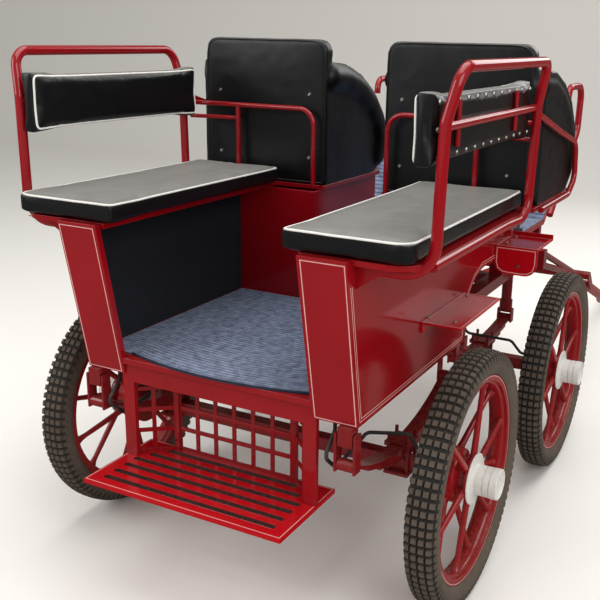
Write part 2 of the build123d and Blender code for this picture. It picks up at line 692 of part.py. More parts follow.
for side_name, side in SIDES:
    with BuildPart() as shaft:
        route = [Vector(side * x, y, z) for x, y, z in SHAFT_ROUTE]
        hinge = route[0]
        neck_end = hinge + (route[1] - hinge).normalized() * SHAFT_NECK
        tube([neck_end, *route[1:]], SHAFT_BENDS, SHAFT_DIAMETER)
        # Flat eye on the hinge pin and the neck that joins it to the tube
        with BuildSketch(Plane.YZ.offset(side * SHAFT_X)) as eye_plate:
            for y, z in ((hinge.Y, hinge.Z), (neck_end.Y, neck_end.Z)):
                with Locations((y, z)):
                    Circle(SPLINTER_DIAMETER / 2)
            make_hull()
        extrude(eye_plate.sketch, amount=SHAFT_EYE_WIDTH / 2, both=True)
        cross_hole(hinge.X, SHAFT_EYE_WIDTH, hinge.Y, hinge.Z, PIN_DIAMETER + 2 * PIN_FIT)
        with Locations(route[-1]):
            Sphere(SHAFT_BALL_RADIUS)
    save(shaft, f"shaft_{side_name}")


# Rear body floor and its carpet

with BuildPart() as floor_panel:
    block((-WALL_INNER_X, WALL_INNER_X), (PILLAR_BOTTOM_Y + WALL_THICKNESS, BULKHEAD_Y),
          (FLOOR_TOP_Z - FLOOR_THICKNESS, FLOOR_TOP_Z))
    block((-PILLAR_INNER_X, PILLAR_INNER_X), (FLOOR_REAR_Y, BULKHEAD_Y), (FLOOR_TOP_Z - FLOOR_THICKNESS, FLOOR_TOP_Z))
save(floor_panel, "floor_panel")

with BuildPart() as floor_carpet:
    mat_half = PILLAR_INNER_X - CARPET
    with BuildSketch(Plane.XY.offset(FLOOR_TOP_Z)):
        with BuildLine():
            Polyline((mat_half, BULKHEAD_Y - CARPET), (mat_half, FLOOR_REAR_Y + MAT_CORNER))
            ThreePointArc(
                (mat_half, FLOOR_REAR_Y + MAT_CORNER),
                (0, FLOOR_REAR_Y - MAT_BOW),
                (-mat_half, FLOOR_REAR_Y + MAT_CORNER),
            )
            Polyline((-mat_half, FLOOR_REAR_Y + MAT_CORNER), (-mat_half, BULKHEAD_Y - CARPET),
                     (mat_half, BULKHEAD_Y - CARPET))
        make_face()
    extrude(amount=CARPET)
save(floor_carpet, "floor_carpet")


# Side walls with the leaning rear pillars and the wheel arch in front

def lean_y(height):
    """Y of the leaning rear edge of a wall at a given height."""
    share = (height - WALL_BOTTOM_Z) / (BENCH_BOARD_Z - WALL_BOTTOM_Z)
    return PILLAR_BOTTOM_Y + (PILLAR_TOP_Y - PILLAR_BOTTOM_Y) * share


for side_name, side in SIDES:
    with BuildPart() as side_wall:
        with BuildSketch(Plane.YZ.offset(side * WALL_INNER_X)):
            with BuildLine():
                Polyline(
                    (WALL_FRONT_Y, CHASSIS_FRONT_TOP_Z),
                    (WALL_FRONT_Y, BENCH_BOARD_Z),
                    (BENCH_REAR_Y, BENCH_BOARD_Z),
                    (BENCH_REAR_Y, PILLAR_TOP_Z),
                    (lean_y(PILLAR_TOP_Z), PILLAR_TOP_Z),
                    (lean_y(WALL_BOTTOM_Z), WALL_BOTTOM_Z),
                    (TUB_FRONT_Y, WALL_BOTTOM_Z),
                    ARCH_START,
                )
                ThreePointArc(ARCH_START, ARCH_MIDDLE, (ARCH_END_Y, CHASSIS_FRONT_TOP_Z))
                Line((ARCH_END_Y, CHASSIS_FRONT_TOP_Z), (WALL_FRONT_Y, CHASSIS_FRONT_TOP_Z))
            make_face()
        extrude(amount=side * WALL_THICKNESS)
        # Rear pillar closes the end of the space under the bench
        with BuildSketch(Plane.YZ.offset(side * PILLAR_INNER_X)):
            with BuildLine():
                Polyline(
                    (lean_y(WALL_BOTTOM_Z), WALL_BOTTOM_Z),
                    (lean_y(PILLAR_TOP_Z), PILLAR_TOP_Z),
                    (lean_y(PILLAR_TOP_Z) + WALL_THICKNESS, PILLAR_TOP_Z),
                    (lean_y(WALL_BOTTOM_Z) + WALL_THICKNESS, WALL_BOTTOM_Z),
                    close=True,
                )
            make_face()
        extrude(amount=side * (WALL_INNER_X - PILLAR_INNER_X))
    save(side_wall, f"side_wall_{side_name}")


# Carpet linings on the inside of the rear walls

with BuildPart() as wall_linings:
    for side_name, side in SIDES:
        with BuildSketch(Plane.YZ.offset(side * WALL_INNER_X)) as lining_side:
            with BuildLine():
                Polyline(
                    (BULKHEAD_Y - CARPET, FLOOR_TOP_Z + CARPET),
                    (BULKHEAD_Y - CARPET, BENCH_BOARD_Z - CARPET),
                    (lean_y(BENCH_BOARD_Z) + WALL_THICKNESS + CARPET, BENCH_BOARD_Z - CARPET),
                    (lean_y(FLOOR_TOP_Z) + WALL_THICKNESS + CARPET, FLOOR_TOP_Z + CARPET),
                    close=True,
                )
            make_face()
        extrude(lining_side.sketch, amount=-side * CARPET)
save(wall_linings, "wall_linings")


# Bulkhead with the walkway between the front seats, and the boxes under those seats

with BuildPart() as bulkhead:
    with BuildSketch(Plane.XZ.offset(-BULKHEAD_Y)):
        with BuildLine():
            Polyline(
                (-WALL_INNER_X, FLOOR_TOP_Z),
                (WALL_INNER_X, FLOOR_TOP_Z),
                (WALL_INNER_X, BENCH_BOARD_Z),
                (AISLE_HALF, BENCH_BOARD_Z),
                (AISLE_HALF, CHASSIS_FRONT_TOP_Z),
                (-AISLE_HALF, CHASSIS_FRONT_TOP_Z),
                (-AISLE_HALF, BENCH_BOARD_Z),
                (-WALL_INNER_X, BENCH_BOARD_Z),
                close=True,
            )
        make_face()
    extrude(amount=-BULKHEAD_THICKNESS)
save(bulkhead, "bulkhead")

BOX_REAR_Y = BULKHEAD_Y + BULKHEAD_THICKNESS

for side_name, side in SIDES:
    with BuildPart() as seat_box:
        box_z = (DRIVER_FLOOR_TOP_Z, BENCH_BOARD_Z)
        aisle_x = (side * AISLE_HALF, side * (AISLE_HALF + BULKHEAD_THICKNESS))
        block(aisle_x, (BOX_REAR_Y, WALL_FRONT_Y), box_z)
        block((side * AISLE_HALF, side * WALL_INNER_X), (WALL_FRONT_Y - BULKHEAD_THICKNESS, WALL_FRONT_Y), box_z)
    save(seat_box, f"seat_box_{side_name}")


# Driver's floor and sloping toe board

TOE_RUN = TOE_END_Y - TOE_START_Y
TOE_RISE = TOE_END_Z - DRIVER_FLOOR_TOP_Z
TOE_ANGLE = atan2(TOE_RISE, TOE_RUN)
TOE_DROP = TOE_THICKNESS / cos(TOE_ANGLE)


def toe_z(y):
    """Height of the toe board's upper face at a given Y."""
    return DRIVER_FLOOR_TOP_Z + (y - TOE_START_Y) * TOE_RISE / TOE_RUN


with BuildPart() as driver_floor:
    with BuildSketch(Plane.YZ):
        with BuildLine():
            Polyline(
                (BOX_REAR_Y, CHASSIS_FRONT_TOP_Z),
                (BOX_REAR_Y, DRIVER_FLOOR_TOP_Z),
                (TOE_START_Y, DRIVER_FLOOR_TOP_Z),
                (TOE_END_Y, TOE_END_Z),
                (TOE_END_Y, TOE_END_Z - TOE_DROP),
                (TOE_START_Y + TOE_THICKNESS, toe_z(TOE_START_Y + TOE_THICKNESS) - TOE_DROP - 4),
                (TOE_START_Y, CHASSIS_FRONT_TOP_Z),
                close=True,
            )
        make_face()
    extrude(amount=WALL_INNER_X, both=True)
save(driver_floor, "driver_floor")

with BuildPart() as ribbed_mat:
    mat_half = WALL_INNER_X - CARPET
    mat_gap = BULKHEAD_THICKNESS
    mat_drop = CARPET / cos(TOE_ANGLE)
    with BuildSketch(Plane.YZ):
        with BuildLine():
            Polyline(
                (WALL_FRONT_Y + CARPET, DRIVER_FLOOR_TOP_Z),
                (TOE_START_Y, DRIVER_FLOOR_TOP_Z),
                (TOE_END_Y, TOE_END_Z),
                (TOE_END_Y, TOE_END_Z + mat_drop),
                (TOE_START_Y - CARPET / 2, DRIVER_FLOOR_TOP_Z + CARPET),
                (WALL_FRONT_Y + CARPET, DRIVER_FLOOR_TOP_Z + CARPET),
                close=True,
            )
        make_face()
    extrude(amount=mat_half, both=True)
    aisle_mat_half = AISLE_HALF - CARPET
    block((-aisle_mat_half, aisle_mat_half), (BOX_REAR_Y, WALL_FRONT_Y + CARPET),
          (DRIVER_FLOOR_TOP_Z, DRIVER_FLOOR_TOP_Z + CARPET))
save(ribbed_mat, "ribbed_mat")


# Tubes along the toe board's edges that rise into cane-shaped grab rails

with BuildPart() as dash_rails:
    edge_x = WALL_INNER_X + RAIL_DIAMETER / 2 + SEAT_GAP
    foot_y = TOE_START_Y + RAIL_DIAMETER
    rail_shift = RAIL_DIAMETER / 4
    for side_name, side in SIDES:
        route = (
            (side * edge_x, foot_y, toe_z(foot_y) - rail_shift),
            (side * edge_x, TOE_END_Y + rail_shift, toe_z(TOE_END_Y) - rail_shift / 2),
            (side * edge_x, CANE_FRONT_Y, CANE_TOP_Z),
            (side * edge_x, CANE_END_Y, CANE_TOP_Z),
            (side * edge_x, CANE_END_Y, CANE_TOP_Z - CANE_TIP_DROP),
        )
        tube(route, (60, 55, 42), RAIL_DIAMETER)
    top_y = TOE_END_Y + RAIL_DIAMETER / 2 + SEAT_GAP
    rod((-edge_x, top_y, TOE_END_Z), (edge_x, top_y, TOE_END_Z), RAIL_DIAMETER)
save(dash_rails, "dash_rails")

with BuildPart() as brake_lever:
    lever_x = WALL_INNER_X - 2 * CARPET - LEVER_DIAMETER
    lever_foot = (lever_x, LEVER_FOOT_Y, DRIVER_FLOOR_TOP_Z + 2 * CARPET)
    rod(lever_foot, (lever_x, LEVER_TOP_Y, LEVER_TOP_Z), LEVER_DIAMETER)
    rod((lever_x, LEVER_FOOT_Y, DRIVER_FLOOR_TOP_Z + CARPET),
        (lever_x, LEVER_FOOT_Y, DRIVER_FLOOR_TOP_Z + 2 * CARPET + CHEEK), 3 * LEVER_DIAMETER)
    with Locations((lever_x, LEVER_TOP_Y, LEVER_TOP_Z)):
        Sphere(LEVER_DIAMETER)
save(brake_lever, "brake_lever")


# Benches: boards with curved gussets, cushions, guard rails and back pads

BENCH_TOP_Z = BENCH_BOARD_Z + BENCH_BOARD_THICKNESS

for side_name, side in SIDES:
    with BuildPart() as bench_board:
        middle_x = side * (BENCH_INNER_X + BENCH_OUTER_X) / 2
        middle_y = (BENCH_REAR_Y + BENCH_FRONT_Y) / 2
        with BuildSketch(Plane.XY.offset(BENCH_BOARD_Z)) as board_top:
            with Locations((middle_x, middle_y)):
                Rectangle(BENCH_OUTER_X - BENCH_INNER_X, BENCH_FRONT_Y - BENCH_REAR_Y)
            rear_corners = board_top.vertices().group_by(Axis.Y)[0].sort_by(Axis.X)
            fillet(rear_corners[-1 if side > 0 else 0], BENCH_CORNER)
        extrude(amount=BENCH_BOARD_THICKNESS)
        for gusset_y in GUSSET_Y:
            with BuildSketch(Plane.XZ.offset(-gusset_y)) as gusset:
                with BuildLine():
                    inner = (side * WALL_OUTER_X, BENCH_BOARD_Z - GUSSET_DROP)
                    outer = (side * (BENCH_OUTER_X - CARPET), BENCH_BOARD_Z)
                    corner = (side * WALL_OUTER_X, BENCH_BOARD_Z)
                    Polyline(inner, corner, outer)
                    RadiusArc(outer, inner, side * GUSSET_RADIUS)
                make_face()
            extrude(gusset.sketch, amount=CHEEK)
    save(bench_board, f"bench_board_{side_name}")

    with BuildPart() as bench_cushion:
        middle_x = side * (CUSHION_INNER_X + CUSHION_OUTER_X) / 2
        middle_y = (CUSHION_REAR_Y + CUSHION_FRONT_Y) / 2
        with BuildSketch(Plane.XY.offset(BENCH_TOP_Z + SEAT_GAP)):
            with Locations((middle_x, middle_y)):
                Rectangle(CUSHION_OUTER_X - CUSHION_INNER_X, CUSHION_FRONT_Y - CUSHION_REAR_Y)
        extrude(amount=CUSHION_THICKNESS)
        upright_edges = bench_cushion.edges().filter_by(Axis.Z).group_by(Axis.Y)
        rear_edges = upright_edges[0].sort_by(Axis.X, reverse=side < 0)
        fillet([rear_edges[0], *upright_edges[-1]], CUSHION_SMALL_CORNER)
        rear_outer = bench_cushion.edges().filter_by(Axis.Z).group_by(Axis.Y)[0].sort_by(Axis.X, reverse=side > 0)
        fillet(rear_outer[0], CUSHION_CORNER)
    save(bench_cushion, f"bench_cushion_{side_name}")

    with BuildPart() as guard_rail:
        foot_x = side * (BENCH_OUTER_X + RAIL_DIAMETER / 2 + SEAT_GAP)
        foot_y = BENCH_REAR_Y - RAIL_DIAMETER / 2 - SEAT_GAP
        foot_z = EDGE_TUBE_Z
        route = (
            (side * PILLAR_INNER_X, foot_y, foot_z),
            (foot_x, foot_y, foot_z),
            (foot_x, RAIL_FRONT_Y, foot_z),
            (side * RAIL_BEND_X, RAIL_FRONT_Y, RAIL_BEND_Z),
            (side * RAIL_TOP_X, RAIL_FRONT_Y - RAIL_TOP_INSET, RAIL_TOP_Z),
            (side * RAIL_TOP_X, RAIL_FOOT_Y + RAIL_TOP_INSET, RAIL_TOP_Z),
            (side * RAIL_BEND_X, RAIL_FOOT_Y, RAIL_BEND_Z),
            (foot_x, RAIL_FOOT_Y, foot_z + RAIL_FOOT_RISE),
            (foot_x - side * RAIL_FOOT_RUN[0], RAIL_FOOT_Y - RAIL_FOOT_RUN[1], foot_z),
        )
        corner = BENCH_CORNER + RAIL_DIAMETER / 2 - 1
        tube(route, (corner, 50, 40, 50, 50, 40, 50), RAIL_DIAMETER)
        bar_x = side * (RAIL_BEND_X - 5)
        rod((bar_x, RAIL_FOOT_Y, RAIL_BEND_Z - 8), (bar_x, RAIL_FRONT_Y, RAIL_BEND_Z - 8), BAR_DIAMETER)
        # Upright bars that the back pad is screwed to
        pad_bar_x = side * (PAD_BACK_X + PAD_BAR_DIAMETER / 2 + SEAT_GAP)
        for pad_bar_y in PAD_BAR_Y:
            rod((pad_bar_x, pad_bar_y, PAD_BAR_Z[0]), (pad_bar_x, pad_bar_y, PAD_BAR_Z[1]), PAD_BAR_DIAMETER)
    save(guard_rail, f"guard_rail_{side_name}")

    with BuildPart() as back_pad:
        pad_x = (side * (PAD_BACK_X - PAD_THICKNESS), side * PAD_BACK_X)
        block(pad_x, (PAD_REAR_Y, PAD_FRONT_Y), (PAD_BOTTOM_Z, PAD_TOP_Z))
        inner_face = back_pad.faces().filter_by(Axis.X).sort_by(Axis.X)[0 if side > 0 else -1]
        chamfer(inner_face.edges(), PAD_CHAMFER)
    save(back_pad, f"back_pad_{side_name}")


# Driver's seats: board, upholstered shell with two arms, cushion and the red tubes round it

for side_name, side in SIDES:
    with BuildPart() as seat_board:
        block((side * SEAT_INNER_X, side * SEAT_BOARD_OUTER_X), (BENCH_FRONT_Y, SEAT_BOARD_FRONT_Y),
              (BENCH_BOARD_Z, BENCH_TOP_Z))
    save(seat_board, f"seat_board_{side_name}")

    with BuildPart() as seat_shell:
        back_middle = side * (SEAT_INNER_X + SEAT_BACK_OUTER_X) / 2
        with BuildSketch(Plane.XZ.offset(-SEAT_BACK_Y)) as seat_back:
            with Locations((back_middle, (BENCH_TOP_Z + SEAT_TOP_Z) / 2)):
                Rectangle(SEAT_BACK_OUTER_X - SEAT_INNER_X, SEAT_TOP_Z - BENCH_TOP_Z)
            fillet(seat_back.vertices().group_by(Axis.Y)[-1], SEAT_TOP_CORNER)
        extrude(seat_back.sketch, amount=-SEAT_SHELL)
        for arm_x in (SEAT_INNER_X, SEAT_OUTER_X - SEAT_SHELL):
            with BuildSketch(Plane.YZ.offset(side * arm_x)) as arm:
                with BuildLine():
                    FilletPolyline(*SEAT_ARM, radius=SEAT_ARM_CORNER, close=True)
                make_face()
            extrude(arm.sketch, amount=side * SEAT_SHELL)
    save(seat_shell, f"seat_shell_{side_name}")

    with BuildPart() as seat_cushion:
        cushion_x = (side * (SEAT_INNER_X + SEAT_SHELL + 1), side * (SEAT_OUTER_X - SEAT_SHELL - 1))
        cushion_y = (SEAT_BACK_Y + SEAT_SHELL + 1, SEAT_BOARD_FRONT_Y - 6)
        block(cushion_x, cushion_y, (BENCH_TOP_Z + SEAT_GAP, BENCH_TOP_Z + SEAT_CUSHION_HEIGHT))
        fillet(seat_cushion.faces().sort_by(Axis.Z)[-1].edges(), 18)
    save(seat_cushion, f"seat_cushion_{side_name}")

    with BuildPart() as seat_rail:
        start_y = RAIL_FRONT_Y + RAIL_DIAMETER / 2 + SEAT_GAP
        leg_x = side * (RAIL_BEND_X - 2)
        hoop = (
            (leg_x, start_y, HOOP_TOP_Z),
            (leg_x, HOOP_Y, HOOP_TOP_Z),
            (side * HOOP_INNER_X, HOOP_Y, HOOP_TOP_Z),
            (side * HOOP_INNER_X, HOOP_Y, BENCH_TOP_Z),
        )
        tube(hoop, (25, 45), HOOP_DIAMETER)
        strut_foot = (side * HOOP_STRUT_X, HOOP_Y, BENCH_TOP_Z)
        rod(strut_foot, (side * HOOP_STRUT_X, HOOP_Y, HOOP_TOP_Z), HOOP_DIAMETER)
        link_start = (side * HOOP_STRUT_X, HOOP_Y, HOOP_LINK_Z)
        link_end = (leg_x - side * RAIL_DIAMETER / 2, start_y + 2 * CARPET, HOOP_LINK_Z)
        rod(link_start, link_end, HOOP_DIAMETER - 6)
        arm_rail = [(side * x, y, z) for x, y, z in ARM_RAIL]
        tube(arm_rail, ARM_RAIL_BENDS, RAIL_DIAMETER)
    save(seat_rail, f"seat_rail_{side_name}")


# Steps: side plates, driver's steps with their flaps, and the rear step

with BuildPart() as side_steps:
    for side_name, side in SIDES:
        step_x = (side * WALL_OUTER_X, side * SIDE_STEP_OUTER_X)
        step_y = (SIDE_STEP_REAR_Y, SIDE_STEP_FRONT_Y)
        block(step_x, step_y, (SIDE_STEP_Z - SIDE_STEP_THICKNESS, SIDE_STEP_Z))
        flange_x = (side * WALL_OUTER_X, side * (WALL_OUTER_X + CHEEK))
        block(flange_x, step_y, (SIDE_STEP_Z - STEP_FLANGE, SIDE_STEP_Z))
save(side_steps, "side_steps")

with BuildPart() as front_steps:
    for side_name, side in SIDES:
        step_x = (side * WALL_OUTER_X, side * FRONT_STEP_OUTER_X)
        step_z = (FRONT_STEP_Z - SIDE_STEP_THICKNESS, FRONT_STEP_Z)
        block(step_x, (FRONT_STEP_REAR_Y, FRONT_STEP_FRONT_Y), step_z)
        lip_y = (FRONT_STEP_FRONT_Y - SIDE_STEP_THICKNESS, FRONT_STEP_FRONT_Y)
        block(step_x, lip_y, (FRONT_STEP_Z, FRONT_STEP_Z + FRONT_STEP_LIP))
        with BuildSketch(Plane.XZ.offset(-FRONT_STEP_REAR_Y)) as flap:
            with Locations((sum(step_x) / 2, (FLAP_BOTTOM_Z + FRONT_STEP_Z) / 2)):
                Rectangle(abs(step_x[1] - step_x[0]), FRONT_STEP_Z - FLAP_BOTTOM_Z)
            fillet(flap.vertices().group_by(Axis.Y)[0], FLAP_CORNER)
        extrude(flap.sketch, amount=-SIDE_STEP_THICKNESS)
save(front_steps, "front_steps")

with BuildPart() as rear_step_plate:
    plate_middle_y = (REAR_STEP_REAR_Y + REAR_STEP_FRONT_Y) / 2
    with BuildSketch(Plane.XY.offset(REAR_STEP_Z - REAR_STEP_THICKNESS)):
        with Locations((0, plate_middle_y)):
            Rectangle(2 * REAR_STEP_HALF, REAR_STEP_FRONT_Y - REAR_STEP_REAR_Y)
        for row in range(SLOT_COUNT):
            slot_y = SLOT_FIRST_Y + row * SLOT_PITCH
            slot_length = SLOT_LENGTH if slot_y < 0 else SLOT_LENGTH * (1 - slot_y / SLOT_TAPER)
            with Locations((0, slot_y)):
                SlotOverall(slot_length, SLOT_WIDTH, mode=Mode.SUBTRACT)
    extrude(amount=REAR_STEP_THICKNESS)
save(rear_step_plate, "rear_step_plate")

STEP_BAR_TOP = FLOOR_TOP_Z - FLOOR_THICKNESS
STEP_BAR_BOTTOM = STEP_BAR_TOP - STEP_BAR_HEIGHT


def grille(plane, length, columns):
    """Flat grille with rows of square openings, standing on the rear step."""
    height = STEP_BAR_BOTTOM - REAR_STEP_Z
    pitch_x = (length - GRILLE_BAR) / columns
    opening_z = GRILLE_PITCH_Z - GRILLE_BAR
    with BuildSketch(plane) as panel:
        Rectangle(length, height, align=(Align.MIN, Align.MIN))
        row_bottom = GRILLE_BAR
        while row_bottom < height - GRILLE_BAR:
            row_height = min(opening_z, height - GRILLE_BAR - row_bottom)
            for column in range(columns):
                corner = (GRILLE_BAR + column * pitch_x, row_bottom)
                with Locations(corner):
                    Rectangle(
                        pitch_x - GRILLE_BAR, row_height, align=(Align.MIN, Align.MIN), mode=Mode.SUBTRACT
                    )
            row_bottom += GRILLE_PITCH_Z
    extrude(panel.sketch, amount=GRILLE_THICKNESS / 2, both=True)


with BuildPart() as rear_step_frame:
    bar_y = (0, UPRIGHT_THICKNESS)
    upright_out = REAR_STEP_HALF
    upright_in = upright_out - UPRIGHT_WIDTH
    block((-PILLAR_INNER_X, PILLAR_INNER_X), bar_y, (STEP_BAR_BOTTOM, STEP_BAR_TOP))
    back_plane = Plane(
        origin=(-GRILLE_BACK_HALF, GRILLE_BACK_Y, REAR_STEP_Z), x_dir=(1, 0, 0), z_dir=(0, -1, 0)
    )
    grille(back_plane, 2 * GRILLE_BACK_HALF, GRILLE_COLUMNS)
    for side_name, side in SIDES:
        block((side * upright_in, side * upright_out), bar_y, (REAR_STEP_Z, WALL_BOTTOM_Z))
        post_x = side * GRILLE_BACK_HALF
        post = GRILLE_BAR / 2 + 2
        block((post_x - post, post_x + post), (GRILLE_BACK_Y - post, GRILLE_BACK_Y + post),
              (REAR_STEP_Z, STEP_BAR_BOTTOM))
        near = Vector(side * (upright_out - GRILLE_BAR), UPRIGHT_THICKNESS / 2, REAR_STEP_Z)
        far = Vector(post_x, GRILLE_BACK_Y, REAR_STEP_Z)
        run = far - near
        side_plane = Plane(origin=near, x_dir=run.normalized(), z_dir=run.cross(Vector(0, 0, 1)))
        grille(side_plane, run.length, GRILLE_SIDE_COLUMNS)
save(rear_step_frame, "rear_step_frame")
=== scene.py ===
"""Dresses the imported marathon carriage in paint, vinyl, rubber and carpet for its render."""

import logging
import math
from collections.abc import Iterator
from contextlib import contextmanager
from dataclasses import dataclass
from enum import Enum

import bmesh
import bpy
from mathutils import Matrix, Vector
from mathutils.bvhtree import BVHTree
from mathutils.noise import noise


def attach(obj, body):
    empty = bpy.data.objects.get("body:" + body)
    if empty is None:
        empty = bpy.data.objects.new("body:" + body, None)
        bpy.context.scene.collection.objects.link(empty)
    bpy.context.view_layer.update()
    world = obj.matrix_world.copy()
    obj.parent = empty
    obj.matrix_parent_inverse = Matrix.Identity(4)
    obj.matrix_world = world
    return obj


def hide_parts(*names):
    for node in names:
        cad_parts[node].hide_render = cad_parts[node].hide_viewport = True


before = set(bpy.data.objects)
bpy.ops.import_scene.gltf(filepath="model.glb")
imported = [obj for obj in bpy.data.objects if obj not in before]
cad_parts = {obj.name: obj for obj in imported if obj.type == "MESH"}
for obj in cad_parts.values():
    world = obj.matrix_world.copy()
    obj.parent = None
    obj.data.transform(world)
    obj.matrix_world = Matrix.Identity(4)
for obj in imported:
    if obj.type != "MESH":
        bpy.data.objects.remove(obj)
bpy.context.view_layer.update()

log = logging.getLogger("carriage")

Flat = tuple[float, float]
Point = tuple[float, float, float]
Four = tuple[float, float, float, float]
Tube = tuple[float, tuple[Four, ...]]
Mesh = bpy.types.Mesh
Material = bpy.types.Material
Piece = bpy.types.Object
Socket = bpy.types.NodeSocket
SIDES = (("left", -1), ("right", 1))
# Pieces are drawn with Y = 0 at the rear step's frame; the shared frame's origin lies this far in front of it
MIDDLE_Y = 2.0035
TO_FRAME = Matrix.Translation((0, -MIDDLE_Y, 0))
ROOT = "carriage"
FORE = "fore_carriage"
# Points closer than this are welded, in the meshes made here and in those of the CAD
WELD = 1e-6
CAD_WELD = 2e-6
# A painted line reaches this far into its face and out of it, and its mitres are cut off at this share
LINE_SUNK = 0.0002
LINE_PROUD = 0.0003
MITRE_LIMIT = 0.3
# Radius of a head's top, as a share of its foot's
HEAD_TOP = 0.72


# Small helpers for colours, nodes and meshes


def linear(code: str) -> Four:
    """Turn an sRGB hex colour into the linear one that shaders use.

    Args:
        code: Colour such as "#8a0f16".

    Returns:
        Linear red, green, blue and an alpha of 1.
    """
    channels = [int(code[start:start + 2], 16) / 255 for start in (1, 3, 5)]
    red, green, blue = [c / 12.92 if c <= 0.04045 else ((c + 0.055) / 1.055) ** 2.4 for c in channels]
    return red, green, blue, 1.0


def add_node(tree: bpy.types.NodeTree, kind: str, inputs: dict | None = None, **settings) -> bpy.types.Node:
    """Add a node with its settings, values and links.

    Args:
        tree: Shader or geometry tree that gets the node.
        kind: Blender's name of the node type.
        inputs: Input name or number, with a value or the output socket that feeds it.
        settings: Properties of the node itself.

    Returns:
        The new node.
    """
    node = tree.nodes.new(kind)
    for name, value in settings.items():
        setattr(node, name, value)
    for socket, value in (inputs or {}).items():
        if isinstance(value, Socket):
            tree.links.new(value, node.inputs[socket])
        else:
            node.inputs[socket].default_value = value
    return node


def new_object(name: str, mesh: Mesh, material: Material | None = None) -> Piece:
    """Put a mesh in the scene as an object at the origin.

    Args:
        name: Name of the piece.
        mesh: Its mesh, with the place already in it.
        material: Its finish, unless the mesh has one.

    Returns:
        The new object.
    """
    piece = bpy.data.objects.new(name, mesh)
    bpy.context.scene.collection.objects.link(piece)
    if material:
        mesh.materials.clear()
        mesh.materials.append(material)
    return piece


def mesh_from(name: str, points: list, faces: list, edges: list | None = None) -> Mesh:
    """Make a mesh from lists of points, edges and faces.

    Args:
        name: Name of the mesh.
        points: Corner coordinates.
        faces: Corner numbers of each face.
        edges: Corner numbers of loose edges.

    Returns:
        The new mesh.
    """
    mesh = bpy.data.meshes.new(name)
    mesh.from_pydata([tuple(p) for p in points], edges or [], faces)
    mesh.update()
    return mesh


def smooth_by_angle(mesh: Mesh, degrees: float = 32.0) -> None:
    """Shade a mesh smooth and keep its sharper edges crisp.

    Args:
        mesh: Mesh to shade.
        degrees: Angle above which an edge stays sharp.
    """
    mesh.shade_smooth()
    mesh.set_sharp_from_angle(angle=math.radians(degrees))


@contextmanager
def edited(mesh: Mesh) -> Iterator[bmesh.types.BMesh]:
    """Open a mesh for editing and write it back at the end.

    Args:
        mesh: Mesh to change.

    Yields:
        Its editable form.
    """
    shape = bmesh.new()
    shape.from_mesh(mesh)
    yield shape
    shape.to_mesh(mesh)
    shape.free()
    mesh.update()


def outward(mesh: Mesh) -> None:
    """Weld a closed mesh and turn its faces outwards.

    Args:
        mesh: Mesh to mend.
    """
    with edited(mesh) as shape:
        bmesh.ops.remove_doubles(shape, verts=shape.verts, dist=WELD)
        bmesh.ops.recalc_face_normals(shape, faces=shape.faces)


def lathe(name: str, profile: list[Flat], segments: int = 96) -> Mesh:
    """Turn a profile round the X axis.

    Args:
        name: Name of the mesh.
        profile: Points of the section as (distance along X, radius), ending where it starts or on the axis.
        segments: Steps round the circle.

    Returns:
        The turned mesh, centred on the origin.
    """
    points, faces = [], []
    for step in range(segments):
        angle = 2 * math.pi * step / segments
        points += [(x, -r * math.sin(angle), r * math.cos(angle)) for x, r in profile]
    count = len(profile)
    for step in range(segments):
        here, there = step * count, (step + 1) % segments * count
        for k in range(count - 1):
            faces.append((here + k, here + k + 1, there + k + 1, there + k))
    mesh = mesh_from(name, points, faces)
    outward(mesh)
    smooth_by_angle(mesh)
    return mesh


def joined(name: str, meshes: list[Mesh]) -> Mesh:
    """Join meshes into one, and keep their materials and attributes.

    Args:
        name: Name of the result.
        meshes: Meshes in one frame.

    Returns:
        One mesh with all of them.
    """
    objects = [new_object(f"{name}_{number}", mesh) for number, mesh in enumerate(meshes)]
    with bpy.context.temp_override(
        active_object=objects[0],
        object=objects[0],
        selected_objects=objects,
        selected_editable_objects=objects,
    ):
        bpy.ops.object.join()
    mesh = objects[0].data
    bpy.data.objects.remove(objects[0])
    mesh.name = name
    return mesh


def ribbon(name: str, path: list[Vector], normal: Vector, closed: bool, width: float) -> Mesh:
    """Lay a thin flat line along a flat path, with mitred corners.

    Args:
        name: Name of the mesh.
        path: Corners of the line's middle.
        normal: The way the painted face looks.
        closed: True where the line comes back to its start.
        width: Width of the line.

    Returns:
        A closed strip that stands a little out of the face.
    """
    count = len(path)
    points = []
    for k, spot in enumerate(path):
        before = (spot - path[k - 1]).normalized() if closed or k else (path[1] - spot).normalized()
        after = (path[(k + 1) % count] - spot).normalized() if closed or k < count - 1 else before
        aside = (before + after).normalized().cross(normal).normalized()
        reach = width / 2 / max(MITRE_LIMIT, aside.dot(before.cross(normal).normalized()))
        low, high = spot - normal * LINE_SUNK, spot + normal * LINE_PROUD
        points += [low - aside * reach, high - aside * reach, high + aside * reach, low + aside * reach]
    faces = []
    for k in range(count if closed else count - 1):
        here, there = 4 * k, 4 * ((k + 1) % count)
        faces += [(here + j, here + (j + 1) % 4, there + (j + 1) % 4, there + j) for j in range(4)]
    if not closed:
        last = 4 * (count - 1)
        faces += [(3, 2, 1, 0), (last, last + 1, last + 2, last + 3)]
    mesh = mesh_from(name, points, faces)
    outward(mesh)
    return mesh


def placed(mesh: Mesh, matrix: Matrix) -> Mesh:
    """Copy a mesh and move the copy.

    Args:
        mesh: Mesh to copy.
        matrix: Where the copy goes.

    Returns:
        The moved copy.
    """
    copy = mesh.copy()
    copy.transform(matrix)
    return copy


